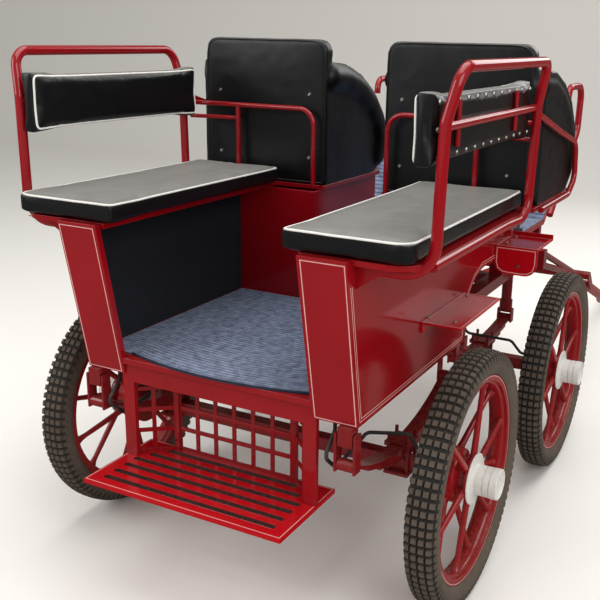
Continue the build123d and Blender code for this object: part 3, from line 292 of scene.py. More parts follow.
def evaluated(carrier: Piece) -> Mesh:
    """Give the mesh of an object with its modifiers applied.

    Args:
        carrier: The object.

    Returns:
        A plain mesh.
    """
    graph = bpy.context.evaluated_depsgraph_get()
    return bpy.data.meshes.new_from_object(
        carrier.evaluated_get(graph), preserve_all_data_layers=True, depsgraph=graph
    )


def cad_mesh(node: str, flat_degrees: float = 0.0) -> Mesh:
    """Copy a CAD node's mesh, welded and without the CAD's own normals.

    Args:
        node: Name of the node.
        flat_degrees: Faces that meet at less than this angle become one; 0 keeps them all.

    Returns:
        The copy, in the shared frame.
    """
    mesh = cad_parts[node].data.copy()
    with edited(mesh) as shape:
        bmesh.ops.remove_doubles(shape, verts=shape.verts, dist=CAD_WELD)
        if flat_degrees:
            bmesh.ops.dissolve_limit(
                shape,
                angle_limit=math.radians(flat_degrees),
                verts=shape.verts,
                edges=shape.edges,
                use_dissolve_boundaries=False,
            )
    if mesh.attributes.get("custom_normal"):
        mesh.attributes.remove(mesh.attributes["custom_normal"])
    return mesh


def drawn_mesh(node: str) -> Mesh:
    """Copy a CAD node's mesh and draw it back to the drawing's origin.

    Args:
        node: Name of the node.

    Returns:
        The copy, in the drawing's frame.
    """
    mesh = cad_mesh(node)
    mesh.transform(TO_FRAME.inverted())
    return mesh


def set_points(mesh: Mesh, points: list[Vector]) -> None:
    """Move the points of a mesh.

    Args:
        mesh: Mesh to change.
        points: New place of each point.
    """
    mesh.vertices.foreach_set("co", [c for point in points for c in point])
    mesh.update()


def mark_points(mesh: Mesh, name: str, values: list[float]) -> None:
    """Write an attribute on the points of a mesh.

    Args:
        mesh: Mesh that gets it.
        name: Name of the attribute.
        values: One number for each point, or three for each where it is a vector.
    """
    kind, field = ("FLOAT", "value") if len(values) == len(mesh.vertices) else ("FLOAT_VECTOR", "vector")
    mesh.attributes.new(name, kind, "POINT").data.foreach_set(field, values)


def surface_tree(mesh: Mesh) -> BVHTree:
    """Build the search tree of a mesh's surface.

    Args:
        mesh: Mesh to search.

    Returns:
        The tree.
    """
    shape = bmesh.new()
    shape.from_mesh(mesh)
    tree = BVHTree.FromBMesh(shape)
    shape.free()
    return tree


# Geometry Nodes that make what repeats and what follows a path


class NodeMaker:
    """Geometry tree with named inputs, run once on a mesh to give a plain mesh."""

    def __init__(self, name: str, sockets: list[tuple[str, str]]) -> None:
        """Start a tree with a geometry input, a material input and its own named inputs.

        Args:
            name: Name of the tree.
            sockets: Name and socket type of each further input.
        """
        self.tree = bpy.data.node_groups.new(name, "GeometryNodeTree")
        face = self.tree.interface
        face.new_socket("Geometry", in_out="INPUT", socket_type="NodeSocketGeometry")
        face.new_socket("Material", in_out="INPUT", socket_type="NodeSocketMaterial")
        for label, kind in sockets:
            face.new_socket(label, in_out="INPUT", socket_type=kind)
        face.new_socket("Geometry", in_out="OUTPUT", socket_type="NodeSocketGeometry")
        self.source = add_node(self.tree, "NodeGroupInput").outputs

    def close(self, made: Socket) -> None:
        """End the tree with realized instances and a material.

        Args:
            made: Socket with the finished geometry.
        """
        real = add_node(self.tree, "GeometryNodeRealizeInstances", {"Geometry": made})
        dressed = add_node(
            self.tree,
            "GeometryNodeSetMaterial",
            {"Geometry": real.outputs[0], "Material": self.source["Material"]},
        )
        add_node(self.tree, "NodeGroupOutput", {"Geometry": dressed.outputs[0]})

    def run(self, name: str, mesh: Mesh, material: Material, **values) -> Mesh:
        """Run the tree on a mesh.

        Args:
            name: Name of the result.
            mesh: Mesh that goes in.
            material: Finish of what comes out.
            values: Value of each named input, with underscores for spaces.

        Returns:
            The result as a plain mesh.
        """
        carrier = new_object(name, mesh)
        modifier = carrier.modifiers.new("maker", "NODES")
        modifier.node_group = self.tree
        wanted = {key.replace("_", " "): value for key, value in values.items()}
        wanted["Material"] = material
        for item in self.tree.interface.items_tree:
            if item.item_type == "SOCKET" and item.in_out == "INPUT" and item.name in wanted:
                modifier[item.identifier] = wanted[item.name]
        result = evaluated(carrier)
        carrier.modifiers.remove(modifier)
        bpy.data.objects.remove(carrier)
        result.name = name
        return result


def tube_maker() -> NodeMaker:
    """Tree that turns a path of straight runs into a tube with rounded bends.

    Returns:
        The tree; the path's points carry their bend radius in the attribute "bend".
    """
    maker = NodeMaker("bent_tube", [("radius", "NodeSocketFloat"), ("sides", "NodeSocketInt")])
    tree, source = maker.tree, maker.source
    curve = add_node(tree, "GeometryNodeMeshToCurve", {"Mesh": source["Geometry"]})
    bend = add_node(tree, "GeometryNodeInputNamedAttribute", {"Name": "bend"}, data_type="FLOAT")
    round_off = add_node(
        tree,
        "GeometryNodeFilletCurve",
        {"Curve": curve.outputs[0], "Count": 12, "Radius": bend.outputs[0], "Limit Radius": True},
        mode="POLY",
    )
    section = add_node(
        tree, "GeometryNodeCurvePrimitiveCircle", {"Resolution": source["sides"], "Radius": source["radius"]}
    )
    swept = add_node(
        tree,
        "GeometryNodeCurveToMesh",
        {"Curve": round_off.outputs[0], "Profile Curve": section.outputs[0], "Fill Caps": True},
    )
    maker.close(swept.outputs[0])
    return maker


def ring_maker() -> NodeMaker:
    """Tree that repeats a mesh evenly round the X axis.

    Returns:
        The tree, with the number of copies as its input.
    """
    maker = NodeMaker("ring_of_copies", [("count", "NodeSocketInt")])
    tree, source = maker.tree, maker.source
    points = add_node(tree, "GeometryNodePoints", {"Count": source["count"]})
    number = add_node(tree, "GeometryNodeInputIndex")
    share = add_node(tree, "ShaderNodeMath", {0: number.outputs[0], 1: source["count"]}, operation="DIVIDE")
    turn = add_node(tree, "ShaderNodeMath", {0: share.outputs[0], 1: 2 * math.pi}, operation="MULTIPLY")
    angles = add_node(tree, "ShaderNodeCombineXYZ", {"X": turn.outputs[0]})
    copies = add_node(
        tree,
        "GeometryNodeInstanceOnPoints",
        {"Points": points.outputs[0], "Instance": source["Geometry"], "Rotation": angles.outputs[0]},
    )
    maker.close(copies.outputs[0])
    return maker


def stud_maker() -> NodeMaker:
    """Tree that sets a turned head on each point of a mesh, along the attribute "aim".

    Returns:
        The tree, with the head's radius, height and sides as inputs.
    """
    maker = NodeMaker(
        "heads_on_points",
        [("radius", "NodeSocketFloat"), ("height", "NodeSocketFloat"), ("sides", "NodeSocketInt")],
    )
    tree, source = maker.tree, maker.source
    body = add_node(
        tree,
        "GeometryNodeMeshCone",
        {
            "Vertices": source["sides"],
            "Radius Bottom": source["radius"],
            "Depth": source["height"],
            "Side Segments": 2,
        },
    )
    narrower = add_node(tree, "ShaderNodeMath", {0: source["radius"], 1: HEAD_TOP}, operation="MULTIPLY")
    tree.links.new(narrower.outputs[0], body.inputs["Radius Top"])
    aim = add_node(tree, "GeometryNodeInputNamedAttribute", {"Name": "aim"}, data_type="FLOAT_VECTOR")
    facing = add_node(tree, "FunctionNodeAlignEulerToVector", {"Vector": aim.outputs[0]}, axis="Z")
    points = add_node(tree, "GeometryNodeMeshToPoints", {"Mesh": source["Geometry"]})
    copies = add_node(
        tree,
        "GeometryNodeInstanceOnPoints",
        {"Points": points.outputs[0], "Instance": body.outputs[0], "Rotation": facing.outputs[0]},
    )
    maker.close(copies.outputs[0])
    return maker


class Makers:
    """The three geometry trees that the pieces share."""

    def __init__(self) -> None:
        """Build the trees once."""
        self.tubes = tube_maker()
        self.rings = ring_maker()
        self.studs = stud_maker()

    def tube(
        self,
        name: str,
        route: list[Point],
        bends: list[float],
        diameter: float,
        material: Material,
        sides: int = 20,
        closed: bool = False,
    ) -> Mesh:
        """Bend a tube along a route, or lay a welt through many close points.

        Args:
            name: Name of the mesh.
            route: Points of the tube's centre line.
            bends: Bend radius at each inner point of the route; none where it is closed.
            diameter: Outer diameter.
            material: Finish of the tube.
            sides: Facets round the tube.
            closed: True where the route comes back to its start.

        Returns:
            The tube's mesh.
        """
        count = len(route)
        edges = [(k, (k + 1) % count) for k in range(count if closed else count - 1)]
        path = mesh_from(name, route, [], edges)
        mark_points(path, "bend", [0.0] * count if closed else [0.0, *bends, 0.0])
        mesh = self.tubes.run(name, path, material, radius=diameter / 2, sides=sides)
        outward(mesh)
        if closed:
            mesh.shade_smooth()
        else:
            smooth_by_angle(mesh, 50)
        return mesh

    def heads(
        self,
        name: str,
        spots: list[tuple[Point, Point]],
        radius: float,
        height: float,
        material: Material,
        sides: int = 12,
    ) -> Mesh:
        """Set screw or tack heads on points.

        Args:
            name: Name of the mesh.
            spots: Foot of each head and the way it faces.
            radius: Radius of a head.
            height: Height of a head.
            material: Finish of the heads.
            sides: Facets of a head; six make a bolt's head.

        Returns:
            One mesh with all the heads.
        """
        path = mesh_from(name, [spot for spot, _ in spots], [])
        mark_points(path, "aim", [c for _, way in spots for c in way])
        mesh = self.studs.run(name, path, material, radius=radius, height=height, sides=sides)
        smooth_by_angle(mesh, 40)
        return mesh


# Finishes


def cleared(owner: Material | bpy.types.World) -> bpy.types.NodeTree:
    """Empty the shader tree of a material or world.

    Args:
        owner: Material or world that gets new nodes.

    Returns:
        Its empty tree.
    """
    owner.use_nodes = True
    owner.node_tree.nodes.clear()
    return owner.node_tree


@dataclass(frozen=True)
class Enamel:
    """Two-pack enamel sprayed on sheet steel: a wet gloss with faint orange peel, and settled dust."""

    name: str = "two_pack_enamel_red"
    colour: str = "#930b16"
    shade: str = "#7b0811"
    dust: str = "#8b7763"
    dust_amount: float = 0.16
    peel_mm: float = 4.0
    ior: float = 1.46
    level_dust: float = 0.5
    low_dust: float = 0.55
    low_heights: Flat = (0.75, 0.1)
    roughness: Flat = (0.12, 0.85)

    def material(self) -> Material:
        """Build the shader.

        Returns:
            The material.
        """
        made = bpy.data.materials.new(self.name)
        tree = cleared(made)
        place = add_node(tree, "ShaderNodeTexCoord").outputs["Object"]
        # Paint lies a little thicker and darker in broad, soft patches
        cloud = add_node(tree, "ShaderNodeTexNoise", {"Vector": place, "Scale": 3.5, "Detail": 2.0})
        shades = {0: cloud.outputs["Fac"], 6: linear(self.colour), 7: linear(self.shade)}
        paint = add_node(tree, "ShaderNodeMix", shades, data_type="RGBA").outputs[2]
        # Dust settles on faces that look up, and thrown dirt reaches the lower half
        normal = add_node(tree, "ShaderNodeNewGeometry").outputs["Normal"]
        facing = add_node(tree, "ShaderNodeSeparateXYZ", {0: normal}).outputs["Z"]
        settled = {"Value": facing, "From Min": 0.3, "To Max": self.level_dust}
        level = add_node(tree, "ShaderNodeMapRange", settled).outputs[0]
        height = add_node(tree, "ShaderNodeSeparateXYZ", {0: place}).outputs["Z"]
        top, foot = self.low_heights
        thrown = {"Value": height, "From Min": top, "From Max": foot, "To Max": self.low_dust}
        low = add_node(tree, "ShaderNodeMapRange", thrown).outputs[0]
        fine = {"Vector": place, "Scale": 90.0, "Detail": 6.0, "Roughness": 0.6}
        grains = add_node(tree, "ShaderNodeTexNoise", fine).outputs["Fac"]
        spread = {"Value": grains, "From Min": 0.3, "From Max": 0.8}
        spots = add_node(tree, "ShaderNodeMapRange", spread).outputs[0]
        reach = add_node(tree, "ShaderNodeMath", {0: level, 1: low}, operation="ADD").outputs[0]
        amount = add_node(tree, "ShaderNodeMath", {0: reach, 1: spots}, operation="MULTIPLY").outputs[0]
        thinned = {0: amount, 1: self.dust_amount}
        dust = add_node(tree, "ShaderNodeMath", thinned, operation="MULTIPLY").outputs[0]
        film = {0: dust, 6: paint, 7: linear(self.dust)}
        sheen = {"Value": dust, "To Min": self.roughness[0], "To Max": self.roughness[1]}
        peel = {"Vector": place, "Scale": 1000 / self.peel_mm, "Detail": 1.0}
        waves = add_node(tree, "ShaderNodeTexNoise", peel).outputs["Fac"]
        relief = {"Height": waves, "Strength": 0.06, "Distance": 0.0006}
        coat = add_node(tree, "ShaderNodeBsdfPrincipled", {
            "Base Color": add_node(tree, "ShaderNodeMix", film, data_type="RGBA").outputs[2],
            "Roughness": add_node(tree, "ShaderNodeMapRange", sheen).outputs[0],
            "IOR": self.ior,
            "Normal": add_node(tree, "ShaderNodeBump", relief).outputs[0],
        })
        add_node(tree, "ShaderNodeOutputMaterial", {"Surface": coat.outputs[0]})
        return made


@dataclass(frozen=True)
class GrainedVinyl:
    """Calendered PVC leathercloth, embossed with a fine pebble grain that breaks up its sheen."""

    name: str = "pvc_leathercloth_black"
    colour: str = "#0e0e10"
    # dust and film: the pale film on upward faces, partly dust and partly painted sky reflection
    dust: str = "#9c9a95"
    grain_mm: float = 1.6
    roughness: float = 0.3
    film: float = 0.70
    ior: float = 1.36

    def material(self) -> Material:
        """Build the shader.

        Returns:
            The material.
        """
        made = bpy.data.materials.new(self.name)
        tree = cleared(made)
        place = add_node(tree, "ShaderNodeTexCoord").outputs["Object"]
        grain = {"Vector": place, "Scale": 1000 / self.grain_mm}
        pebbles = add_node(tree, "ShaderNodeTexVoronoi", grain, feature="SMOOTH_F1").outputs["Distance"]
        folds = add_node(tree, "ShaderNodeTexNoise", {"Vector": place, "Scale": 9.0, "Detail": 3.0})
        wear = add_node(tree, "ShaderNodeTexNoise", {"Vector": place, "Scale": 22.0, "Detail": 6.0})
        worn = wear.outputs["Fac"]
        # A pale film on what looks up is partly dust and partly painted reflection of the sky, a little worn
        # off in patches
        normal = add_node(tree, "ShaderNodeNewGeometry").outputs["Normal"]
        facing = add_node(tree, "ShaderNodeSeparateXYZ", {0: normal}).outputs["Z"]
        settled = {"Value": facing, "From Min": 0.55, "To Max": self.film}
        level = add_node(tree, "ShaderNodeMapRange", settled).outputs[0]
        left = {"Value": worn, "To Min": 0.78, "To Max": 1.0}
        even = add_node(tree, "ShaderNodeMapRange", left).outputs[0]
        film = add_node(tree, "ShaderNodeMath", {0: level, 1: even}, operation="MULTIPLY").outputs[0]
        dust_and_painted_reflection = {0: film, 6: linear(self.colour), 7: linear(self.dust)}
        sheen = {"Value": worn, "To Min": self.roughness - 0.06, "To Max": self.roughness + 0.12}
        pitted = {"Height": pebbles, "Strength": 0.25, "Distance": 0.0004}
        fine = add_node(tree, "ShaderNodeBump", pitted).outputs[0]
        soft = {"Height": folds.outputs["Fac"], "Strength": 0.12, "Distance": 0.006, "Normal": fine}
        coat = add_node(tree, "ShaderNodeBsdfPrincipled", {
            "Base Color": add_node(tree, "ShaderNodeMix", dust_and_painted_reflection, data_type="RGBA").outputs[2],
            "Roughness": add_node(tree, "ShaderNodeMapRange", sheen).outputs[0],
            "IOR": self.ior,
            "Normal": add_node(tree, "ShaderNodeBump", soft).outputs[0],
        })
        add_node(tree, "ShaderNodeOutputMaterial", {"Surface": coat.outputs[0]})
        return made


@dataclass(frozen=True)
class TyreRubber:
    """Vulcanised carbon-black rubber, scuffed grey-brown on the blocks, and bare and dark in the grooves as
    painted shade.
    """

    name: str = "vulcanised_rubber_dusty"
    colour: str = "#161513"
    soil: str = "#7c6a5a"
    soil_share: Flat = (0.03, 0.50)
    roughness: float = 0.82

    def material(self) -> Material:
        """Build the shader.

        Returns:
            The material.
        """
        made = bpy.data.materials.new(self.name)
        tree = cleared(made)
        place = add_node(tree, "ShaderNodeTexCoord").outputs["Object"]
        coarse = {"Vector": place, "Scale": 55.0, "Detail": 8.0, "Roughness": 0.72}
        crumbs = add_node(tree, "ShaderNodeTexNoise", coarse).outputs["Fac"]
        drift = add_node(tree, "ShaderNodeTexNoise", {"Vector": place, "Scale": 7.0, "Detail": 3.0})
        # The mesh carries the mark "relief": 0 in the grooves, more on what touches the road
        relief = add_node(tree, "ShaderNodeAttribute", attribute_name="relief").outputs["Fac"]
        # Grooves keep the bare dark rubber as painted shade, while worn block tops and sidewalls take soil
        clean, soiled = self.soil_share
        depth = add_node(tree, "ShaderNodeMapRange", {"Value": relief, "To Min": clean, "To Max": soiled})
        mottle = {0: crumbs, 1: drift.outputs["Fac"]}
        patch = add_node(tree, "ShaderNodeMath", mottle, operation="ADD").outputs[0]
        share = add_node(tree, "ShaderNodeMath", {0: depth.outputs[0], 1: patch}, operation="MULTIPLY")
        tones = {0: share.outputs[0], 6: linear(self.colour), 7: linear(self.soil)}
        rough = {"Height": crumbs, "Strength": 0.35, "Distance": 0.0015}
        coat = add_node(tree, "ShaderNodeBsdfPrincipled", {
            "Base Color": add_node(tree, "ShaderNodeMix", tones, data_type="RGBA").outputs[2],
            "Roughness": self.roughness,
            "IOR": 1.5,
            "Normal": add_node(tree, "ShaderNodeBump", rough).outputs[0],
        })
        add_node(tree, "ShaderNodeOutputMaterial", {"Surface": coat.outputs[0]})
        return made


@dataclass(frozen=True)
class Carpet:
    """Needle-punched polypropylene carpet: short matted fibres, darker in the valleys between ribs, with dirt
    and painted shade.
    """

    name: str
    colour: str
    dark: str
    fibre_mm: float = 1.8
    sheen: float = 0.15
    roughness: float = 0.95

    def material(self) -> Material:
        """Build the shader.

        Returns:
            The material.
        """
        made = bpy.data.materials.new(self.name)
        tree = cleared(made)
        place = add_node(tree, "ShaderNodeTexCoord").outputs["Object"]
        pile = {"Vector": place, "Scale": 1000 / self.fibre_mm, "Detail": 3.0, "Roughness": 0.8}
        fibres = add_node(tree, "ShaderNodeTexNoise", pile).outputs["Fac"]
        stains = add_node(tree, "ShaderNodeTexNoise", {"Vector": place, "Scale": 45.0, "Detail": 5.0})
        stained = {0: fibres, 1: stains.outputs["Fac"]}
        mottle = add_node(tree, "ShaderNodeMath", stained, operation="MULTIPLY").outputs[0]
        contrast = {"Value": mottle, "From Min": 0.10, "From Max": 0.34}
        spread = add_node(tree, "ShaderNodeMapRange", contrast).outputs[0]
        # Ribs carry the mark "valley" between them, where dirt and shade gather
        valley = add_node(tree, "ShaderNodeAttribute", attribute_name="valley").outputs["Fac"]
        clean = add_node(tree, "ShaderNodeMath", {0: 1.0, 1: valley}, operation="SUBTRACT").outputs[0]
        share = add_node(tree, "ShaderNodeMath", {0: spread, 1: clean}, operation="MULTIPLY").outputs[0]
        tones = {0: share, 6: linear(self.dark), 7: linear(self.colour)}
        nap = {"Height": fibres, "Strength": 0.7, "Distance": 0.0012}
        coat = add_node(tree, "ShaderNodeBsdfPrincipled", {
            "Base Color": add_node(tree, "ShaderNodeMix", tones, data_type="RGBA").outputs[2],
            "Roughness": self.roughness,
            "Sheen Weight": self.sheen,
            "Sheen Roughness": 0.6,
            "Normal": add_node(tree, "ShaderNodeBump", nap).outputs[0],
        })
        add_node(tree, "ShaderNodeOutputMaterial", {"Surface": coat.outputs[0]})
        return made


@dataclass(frozen=True)
class PlainCoat:
    """A smooth coat or moulding in one colour, with grime in faint patches and a fine surface grain."""

    name: str
    colour: str
    grime: str
    roughness: float
    metallic: float = 0.0
    grime_amount: float = 0.3
    grain_mm: float = 2.0
    grain_strength: float = 0.08

    def material(self) -> Material:
        """Build the shader.

        Returns:
            The material.
        """
        made = bpy.data.materials.new(self.name)
        tree = cleared(made)
        place = add_node(tree, "ShaderNodeTexCoord").outputs["Object"]
        faint = {"Vector": place, "Scale": 30.0, "Detail": 6.0, "Roughness": 0.65}
        patches = add_node(tree, "ShaderNodeTexNoise", faint).outputs["Fac"]
        grain = {"Vector": place, "Scale": 1000 / self.grain_mm, "Detail": 2.0}
        grains = add_node(tree, "ShaderNodeTexNoise", grain).outputs["Fac"]
        grimy = {"Value": patches, "From Min": 0.45, "From Max": 0.8, "To Max": self.grime_amount}
        share = add_node(tree, "ShaderNodeMapRange", grimy).outputs[0]
        tones = {0: share, 6: linear(self.colour), 7: linear(self.grime)}
        smooth, dull = max(self.roughness - 0.08, 0.03), min(self.roughness + 0.12, 1.0)
        sheen = {"Value": patches, "To Min": smooth, "To Max": dull}
        relief = {"Height": grains, "Strength": self.grain_strength, "Distance": 0.0005}
        coat = add_node(tree, "ShaderNodeBsdfPrincipled", {
            "Base Color": add_node(tree, "ShaderNodeMix", tones, data_type="RGBA").outputs[2],
            "Roughness": add_node(tree, "ShaderNodeMapRange", sheen).outputs[0],
            "Metallic": self.metallic,
            "Normal": add_node(tree, "ShaderNodeBump", relief).outputs[0],
        })
        add_node(tree, "ShaderNodeOutputMaterial", {"Surface": coat.outputs[0]})
        return made


class Finish(Enum):
    """Every finish on the carriage."""

    PAINT = Enamel()
    # A brighter copy of the body's enamel, as painted light on the tops of the steps
    LIT_STEP_PAINT = Enamel(
        name="two_pack_enamel_red_painted_lit_steps", colour="#b20a16", shade="#9c0812", dust_amount=0.04, ior=1.3
    )
    WHEEL_PAINT = Enamel(name="two_pack_enamel_red_wheels", dust_amount=0.26)
    GEAR_PAINT = Enamel(
        name="brushed_enamel_red_gear", colour="#7c0b14", shade="#650810", dust_amount=0.32, peel_mm=7.0
    )
    VINYL = GrainedVinyl()
    # The seats carry a thinner film of dust and painted sky reflection
    SEAT_VINYL = GrainedVinyl(
        name="pvc_leathercloth_black_seats", colour="#0b0b0d", roughness=0.34, film=0.25
    )
    RUBBER = TyreRubber()
    # dark is the colour of the stains and of the valleys' dirt and painted shade
    RIBBED_CARPET = Carpet(name="needle_punched_carpet_blue_grey", colour="#76829d", dark="#1f283b")
    BINDING = Carpet(
        name="woven_carpet_binding_navy", colour="#1c2438", dark="#0f1420", fibre_mm=1.0, sheen=0.0
    )
    LINING = Carpet(name="needle_punched_carpet_dark_blue", colour="#0d121e", dark="#05080e", sheen=0.0)
    # Dark enamel on the upright faces inside the rear step's slots: painted shade
    SLOT_SHADE_PAINT = Enamel(
        name="two_pack_enamel_painted_slot_shade", colour="#35060b", shade="#1f0306", dust_amount=0.3
    )
    CAP_WHITE = PlainCoat(name="moulded_abs_white", colour="#d3d1cc", grime="#948979", roughness=0.32)
    PIPING = PlainCoat(name="extruded_pvc_piping_white", colour="#dedbd6", grime="#8d867c", roughness=0.45)
    STRIPE = PlainCoat(
        name="brush_lined_enamel_pink", colour="#d79f9a", grime="#b06362", roughness=0.3, grime_amount=0.5
    )
    BLACK_STEEL = PlainCoat(name="painted_mild_steel_black", colour="#17171a", grime="#5e5348", roughness=0.4)
    ZINC = PlainCoat(
        name="zinc_plated_steel",
        colour="#a9a7a0",
        grime="#6b6357",
        roughness=0.35,
        metallic=1.0,
        grime_amount=0.4,
    )
    HOSE = PlainCoat(name="extruded_epdm_hose_black", colour="#1a1918", grime="#6d6254", roughness=0.6)


class FinishShop:
    """Makes each finish once and hands it out."""

    def __init__(self) -> None:
        """Start with no finish made."""
        self.made: dict[Finish, Material] = {}

    def __getitem__(self, finish: Finish) -> Material:
        """Give the material of a finish, made at its first use.

        Args:
            finish: The finish.

        Returns:
            Its material.
        """
        if finish not in self.made:
            self.made[finish] = finish.value.material()
        return self.made[finish]


class Dresser:
    """Sets each piece on its body in the shared frame and reports it."""

    def __init__(self, shop: FinishShop, makers: Makers) -> None:
        """Keep the shared finishes and makers.

        Args:
            shop: Finishes.
            makers: Geometry trees.
        """
        self.shop = shop
        self.makers = makers

    def mount(
        self,
        name: str,
        mesh: Mesh,
        finish: Finish | None,
        body: str,
        slot: str,
        replaces: tuple[str, ...] = (),
        in_frame: bool = False,
    ) -> Piece:
        """Put a finished mesh on a body.

        Args:
            name: Name of the piece.
            mesh: Its mesh, in place.
            finish: Its finish, or None where the mesh has its materials.
            body: CAD body that carries it.
            slot: Material slot of the record; not used.
            replaces: CAD nodes that it stands for.
            in_frame: True for a mesh that comes from the CAD and lies in the shared frame already.

        Returns:
            The piece.
        """
        if not in_frame:
            mesh.transform(TO_FRAME)
        piece = new_object(name, mesh, self.shop[finish] if finish else None)
        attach(piece, body)
        if replaces:
            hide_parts(*replaces)
        log.info("%s: %d faces on %s", name, len(mesh.polygons), body)
        return piece

    def paint_node(self, node: str, finish: Finish) -> None:
        """Give a CAD node that stays its finish.

        Args:
            node: Name of the node.
            finish: Its finish.
        """
        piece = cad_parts[node]
        if not piece.material_slots:
            piece.data.materials.append(self.shop[finish])
        for place in piece.material_slots:
            place.material = self.shop[finish]

    def dressed_copy(self, node: str, finish: Finish, body: str, slot: str, edge: float) -> Piece:
        """Stand a copy of a CAD node with softened edges in its place.

        Args:
            node: Name of the node.
            finish: Its finish.
            body: Body that carries it.
            slot: Material slot of the record.
            edge: Width of the softened edges.

        Returns:
            The copy.
        """
        mesh = cad_mesh(node, flat_degrees=0.6)
        smooth_by_angle(mesh, 30)
        piece = self.mount(f"{node}_dressed", mesh, finish, body, slot, (node,), True)
        softened = piece.modifiers.new("softened_edges", "BEVEL")
        softened.width = edge
        softened.segments = 2
        softened.limit_method = "ANGLE"
        softened.angle_limit = math.radians(40)
        softened.harden_normals = True
        return piece


@dataclass(frozen=True)
class SubAssembly:
    """A part of the carriage that is made and dressed on its own."""

    dresser: Dresser

    def finish(self, finish: Finish) -> Material:
        """Give the material of a finish."""
        return self.dresser.shop[finish]

    @property
    def makers(self) -> Makers:
        """Give the shared geometry trees."""
        return self.dresser.makers


# Studio


@dataclass(frozen=True)
class Studio:
    """Plain pale floor, soft lamps and the photograph's camera."""

    eye: Point = (1.2444, -1.72954, 1.47906)
    heading_deg: float = 27.11
    down_deg: float = 16.64
    roll_deg: float = 1.22
    sensor_mm: float = 36.0
    lens_mm: float = 52.965
    shift: float = -0.0667
    floor_half: float = 14.0
    floor_start: float = -9.0
    sweep_start: float = 7.0
    sweep_radius: float = 2.5
    backdrop_top: float = 9.0
    lamp_table: tuple[tuple[str, Point, Point, float, float], ...] = (
        # name, place, target, size, watts
        ("overhead", (0.4, 0.6, 5.2), (0.1, 0.6, 0.6), 4.5, 210.0),
        ("left_rear", (-3.6, -3.4, 3.4), (0.0, 0.4, 0.7), 3.0, 130.0),
        ("right_rear", (4.2, -2.2, 3.2), (0.2, 0.6, 0.6), 3.2, 120.0),
        ("front", (1.5, 5.6, 3.6), (0.0, 1.6, 0.6), 3.0, 90.0),
    )

    def build(self) -> None:
        """Make the floor, the lamps, the world and the camera."""
        self.floor()
        self.lamps()
        self.world()
        self.camera()

    def floor(self) -> None:
        """Lay a floor that sweeps up behind the carriage."""
        points, faces = [], []
        bend = [math.pi / 2 * k / 16 for k in range(17)]
        radius = self.sweep_radius
        rows = [(self.floor_start, 0.0)]
        rows += [(self.sweep_start + radius * math.sin(a), radius - radius * math.cos(a)) for a in bend]
        rows += [(self.sweep_start + radius, self.backdrop_top)]
        for y, z in rows:
            points += [(-self.floor_half, y, z), (self.floor_half, y, z)]
        for row in range(len(rows) - 1):
            base = 2 * row
            faces.append((base, base + 1, base + 3, base + 2))
        mesh = mesh_from("studio_floor", points, faces)
        mesh.transform(TO_FRAME)
        mesh.shade_smooth()
        made = bpy.data.materials.new("matt_painted_floor")
        tree = cleared(made)
        # Glossy pieces mirror a darker floor than the camera sees
        mirrored_ray = add_node(tree, "ShaderNodeLightPath").outputs["Is Glossy Ray"]
        tones = {0: mirrored_ray, 6: linear("#ebe8e3"), 7: linear("#6f6a64")}
        tone = add_node(tree, "ShaderNodeMix", tones, data_type="RGBA").outputs[2]
        paint = add_node(tree, "ShaderNodeBsdfPrincipled", {"Base Color": tone, "Roughness": 0.8})
        add_node(tree, "ShaderNodeOutputMaterial", {"Surface": paint.outputs[0]})
        new_object("studio_floor", mesh, made)

    def lamps(self) -> None:
        """Hang the soft lamps."""
        for name, place, target, size, watts in self.lamp_table:
            data = bpy.data.lights.new(name, "AREA")
            data.size = size
            data.energy = watts
            lamp = bpy.data.objects.new(name, data)
            lamp.location = TO_FRAME @ Vector(place)
            lamp.rotation_euler = (Vector(target) - Vector(place)).to_track_quat("-Z", "Y").to_euler()
            bpy.context.scene.collection.objects.link(lamp)

    def world(self) -> None:
        """Give the world a white background and a gentle fill."""
        world = bpy.data.worlds.new("studio")
        bpy.context.scene.world = world
        tree = cleared(world)
        camera_ray = add_node(tree, "ShaderNodeLightPath").outputs["Is Camera Ray"]
        fill = {"Value": camera_ray, "To Min": 0.5, "To Max": 0.95}
        strength = add_node(tree, "ShaderNodeMapRange", fill).outputs[0]
        sky = {"Color": linear("#f6f5f2"), "Strength": strength}
        glow = add_node(tree, "ShaderNodeBackground", sky)
        add_node(tree, "ShaderNodeOutputWorld", {"Surface": glow.outputs[0]})

    def camera(self) -> None:
        """Place the camera that the photograph was fitted with."""
        heading, down, roll = (math.radians(a) for a in (self.heading_deg, self.down_deg, self.roll_deg))
        forward = Vector(
            (-math.sin(heading) * math.cos(down), math.cos(heading) * math.cos(down), -math.sin(down))
        )
        right = forward.cross(Vector((0, 0, 1))).normalized()
        up = right.cross(forward)
        turned_right = right * math.cos(roll) + up * math.sin(roll)
        turned_up = turned_right.cross(forward)
        data = bpy.data.cameras.new("photo_view")
        data.sensor_width = self.sensor_mm
        data.lens = self.lens_mm
        data.shift_x = self.shift
        data.clip_end = 60.0
        camera = bpy.data.objects.new("photo_view", data)
        axes = Matrix((turned_right, turned_up, -forward)).transposed().to_4x4()
        camera.matrix_world = TO_FRAME @ Matrix.Translation(self.eye) @ axes
        bpy.context.scene.collection.objects.link(camera)
        bpy.context.scene.camera = camera


# Wheels


@dataclass(frozen=True)
class WheelSizes:
    """Sizes of a wheel in metres. The first coordinate of a section runs outwards along the axle."""

    radius: float = 0.350
    tread_depth: float = 0.009
    pitches: int = 90
    block_taper: float = 0.0012
    rim_flange: float = 0.285
    rim_half: float = 0.028
    line_radius: float = 0.2805
    line_width: float = 0.0020
    spokes: int = 12
    spoke_radius: float = 0.0085
    drum_radius: float = 0.078
    drum_inner: float = -0.072
    drum_outer: float = -0.012
    hub_bore: float = 0.018
    hub_radius: float = 0.048
    flange_radius: float = 0.066
    hub_face: float = 0.020
    cap_flange: float = 0.070
    cap_radius: float = 0.042
    cap_length: float = 0.073


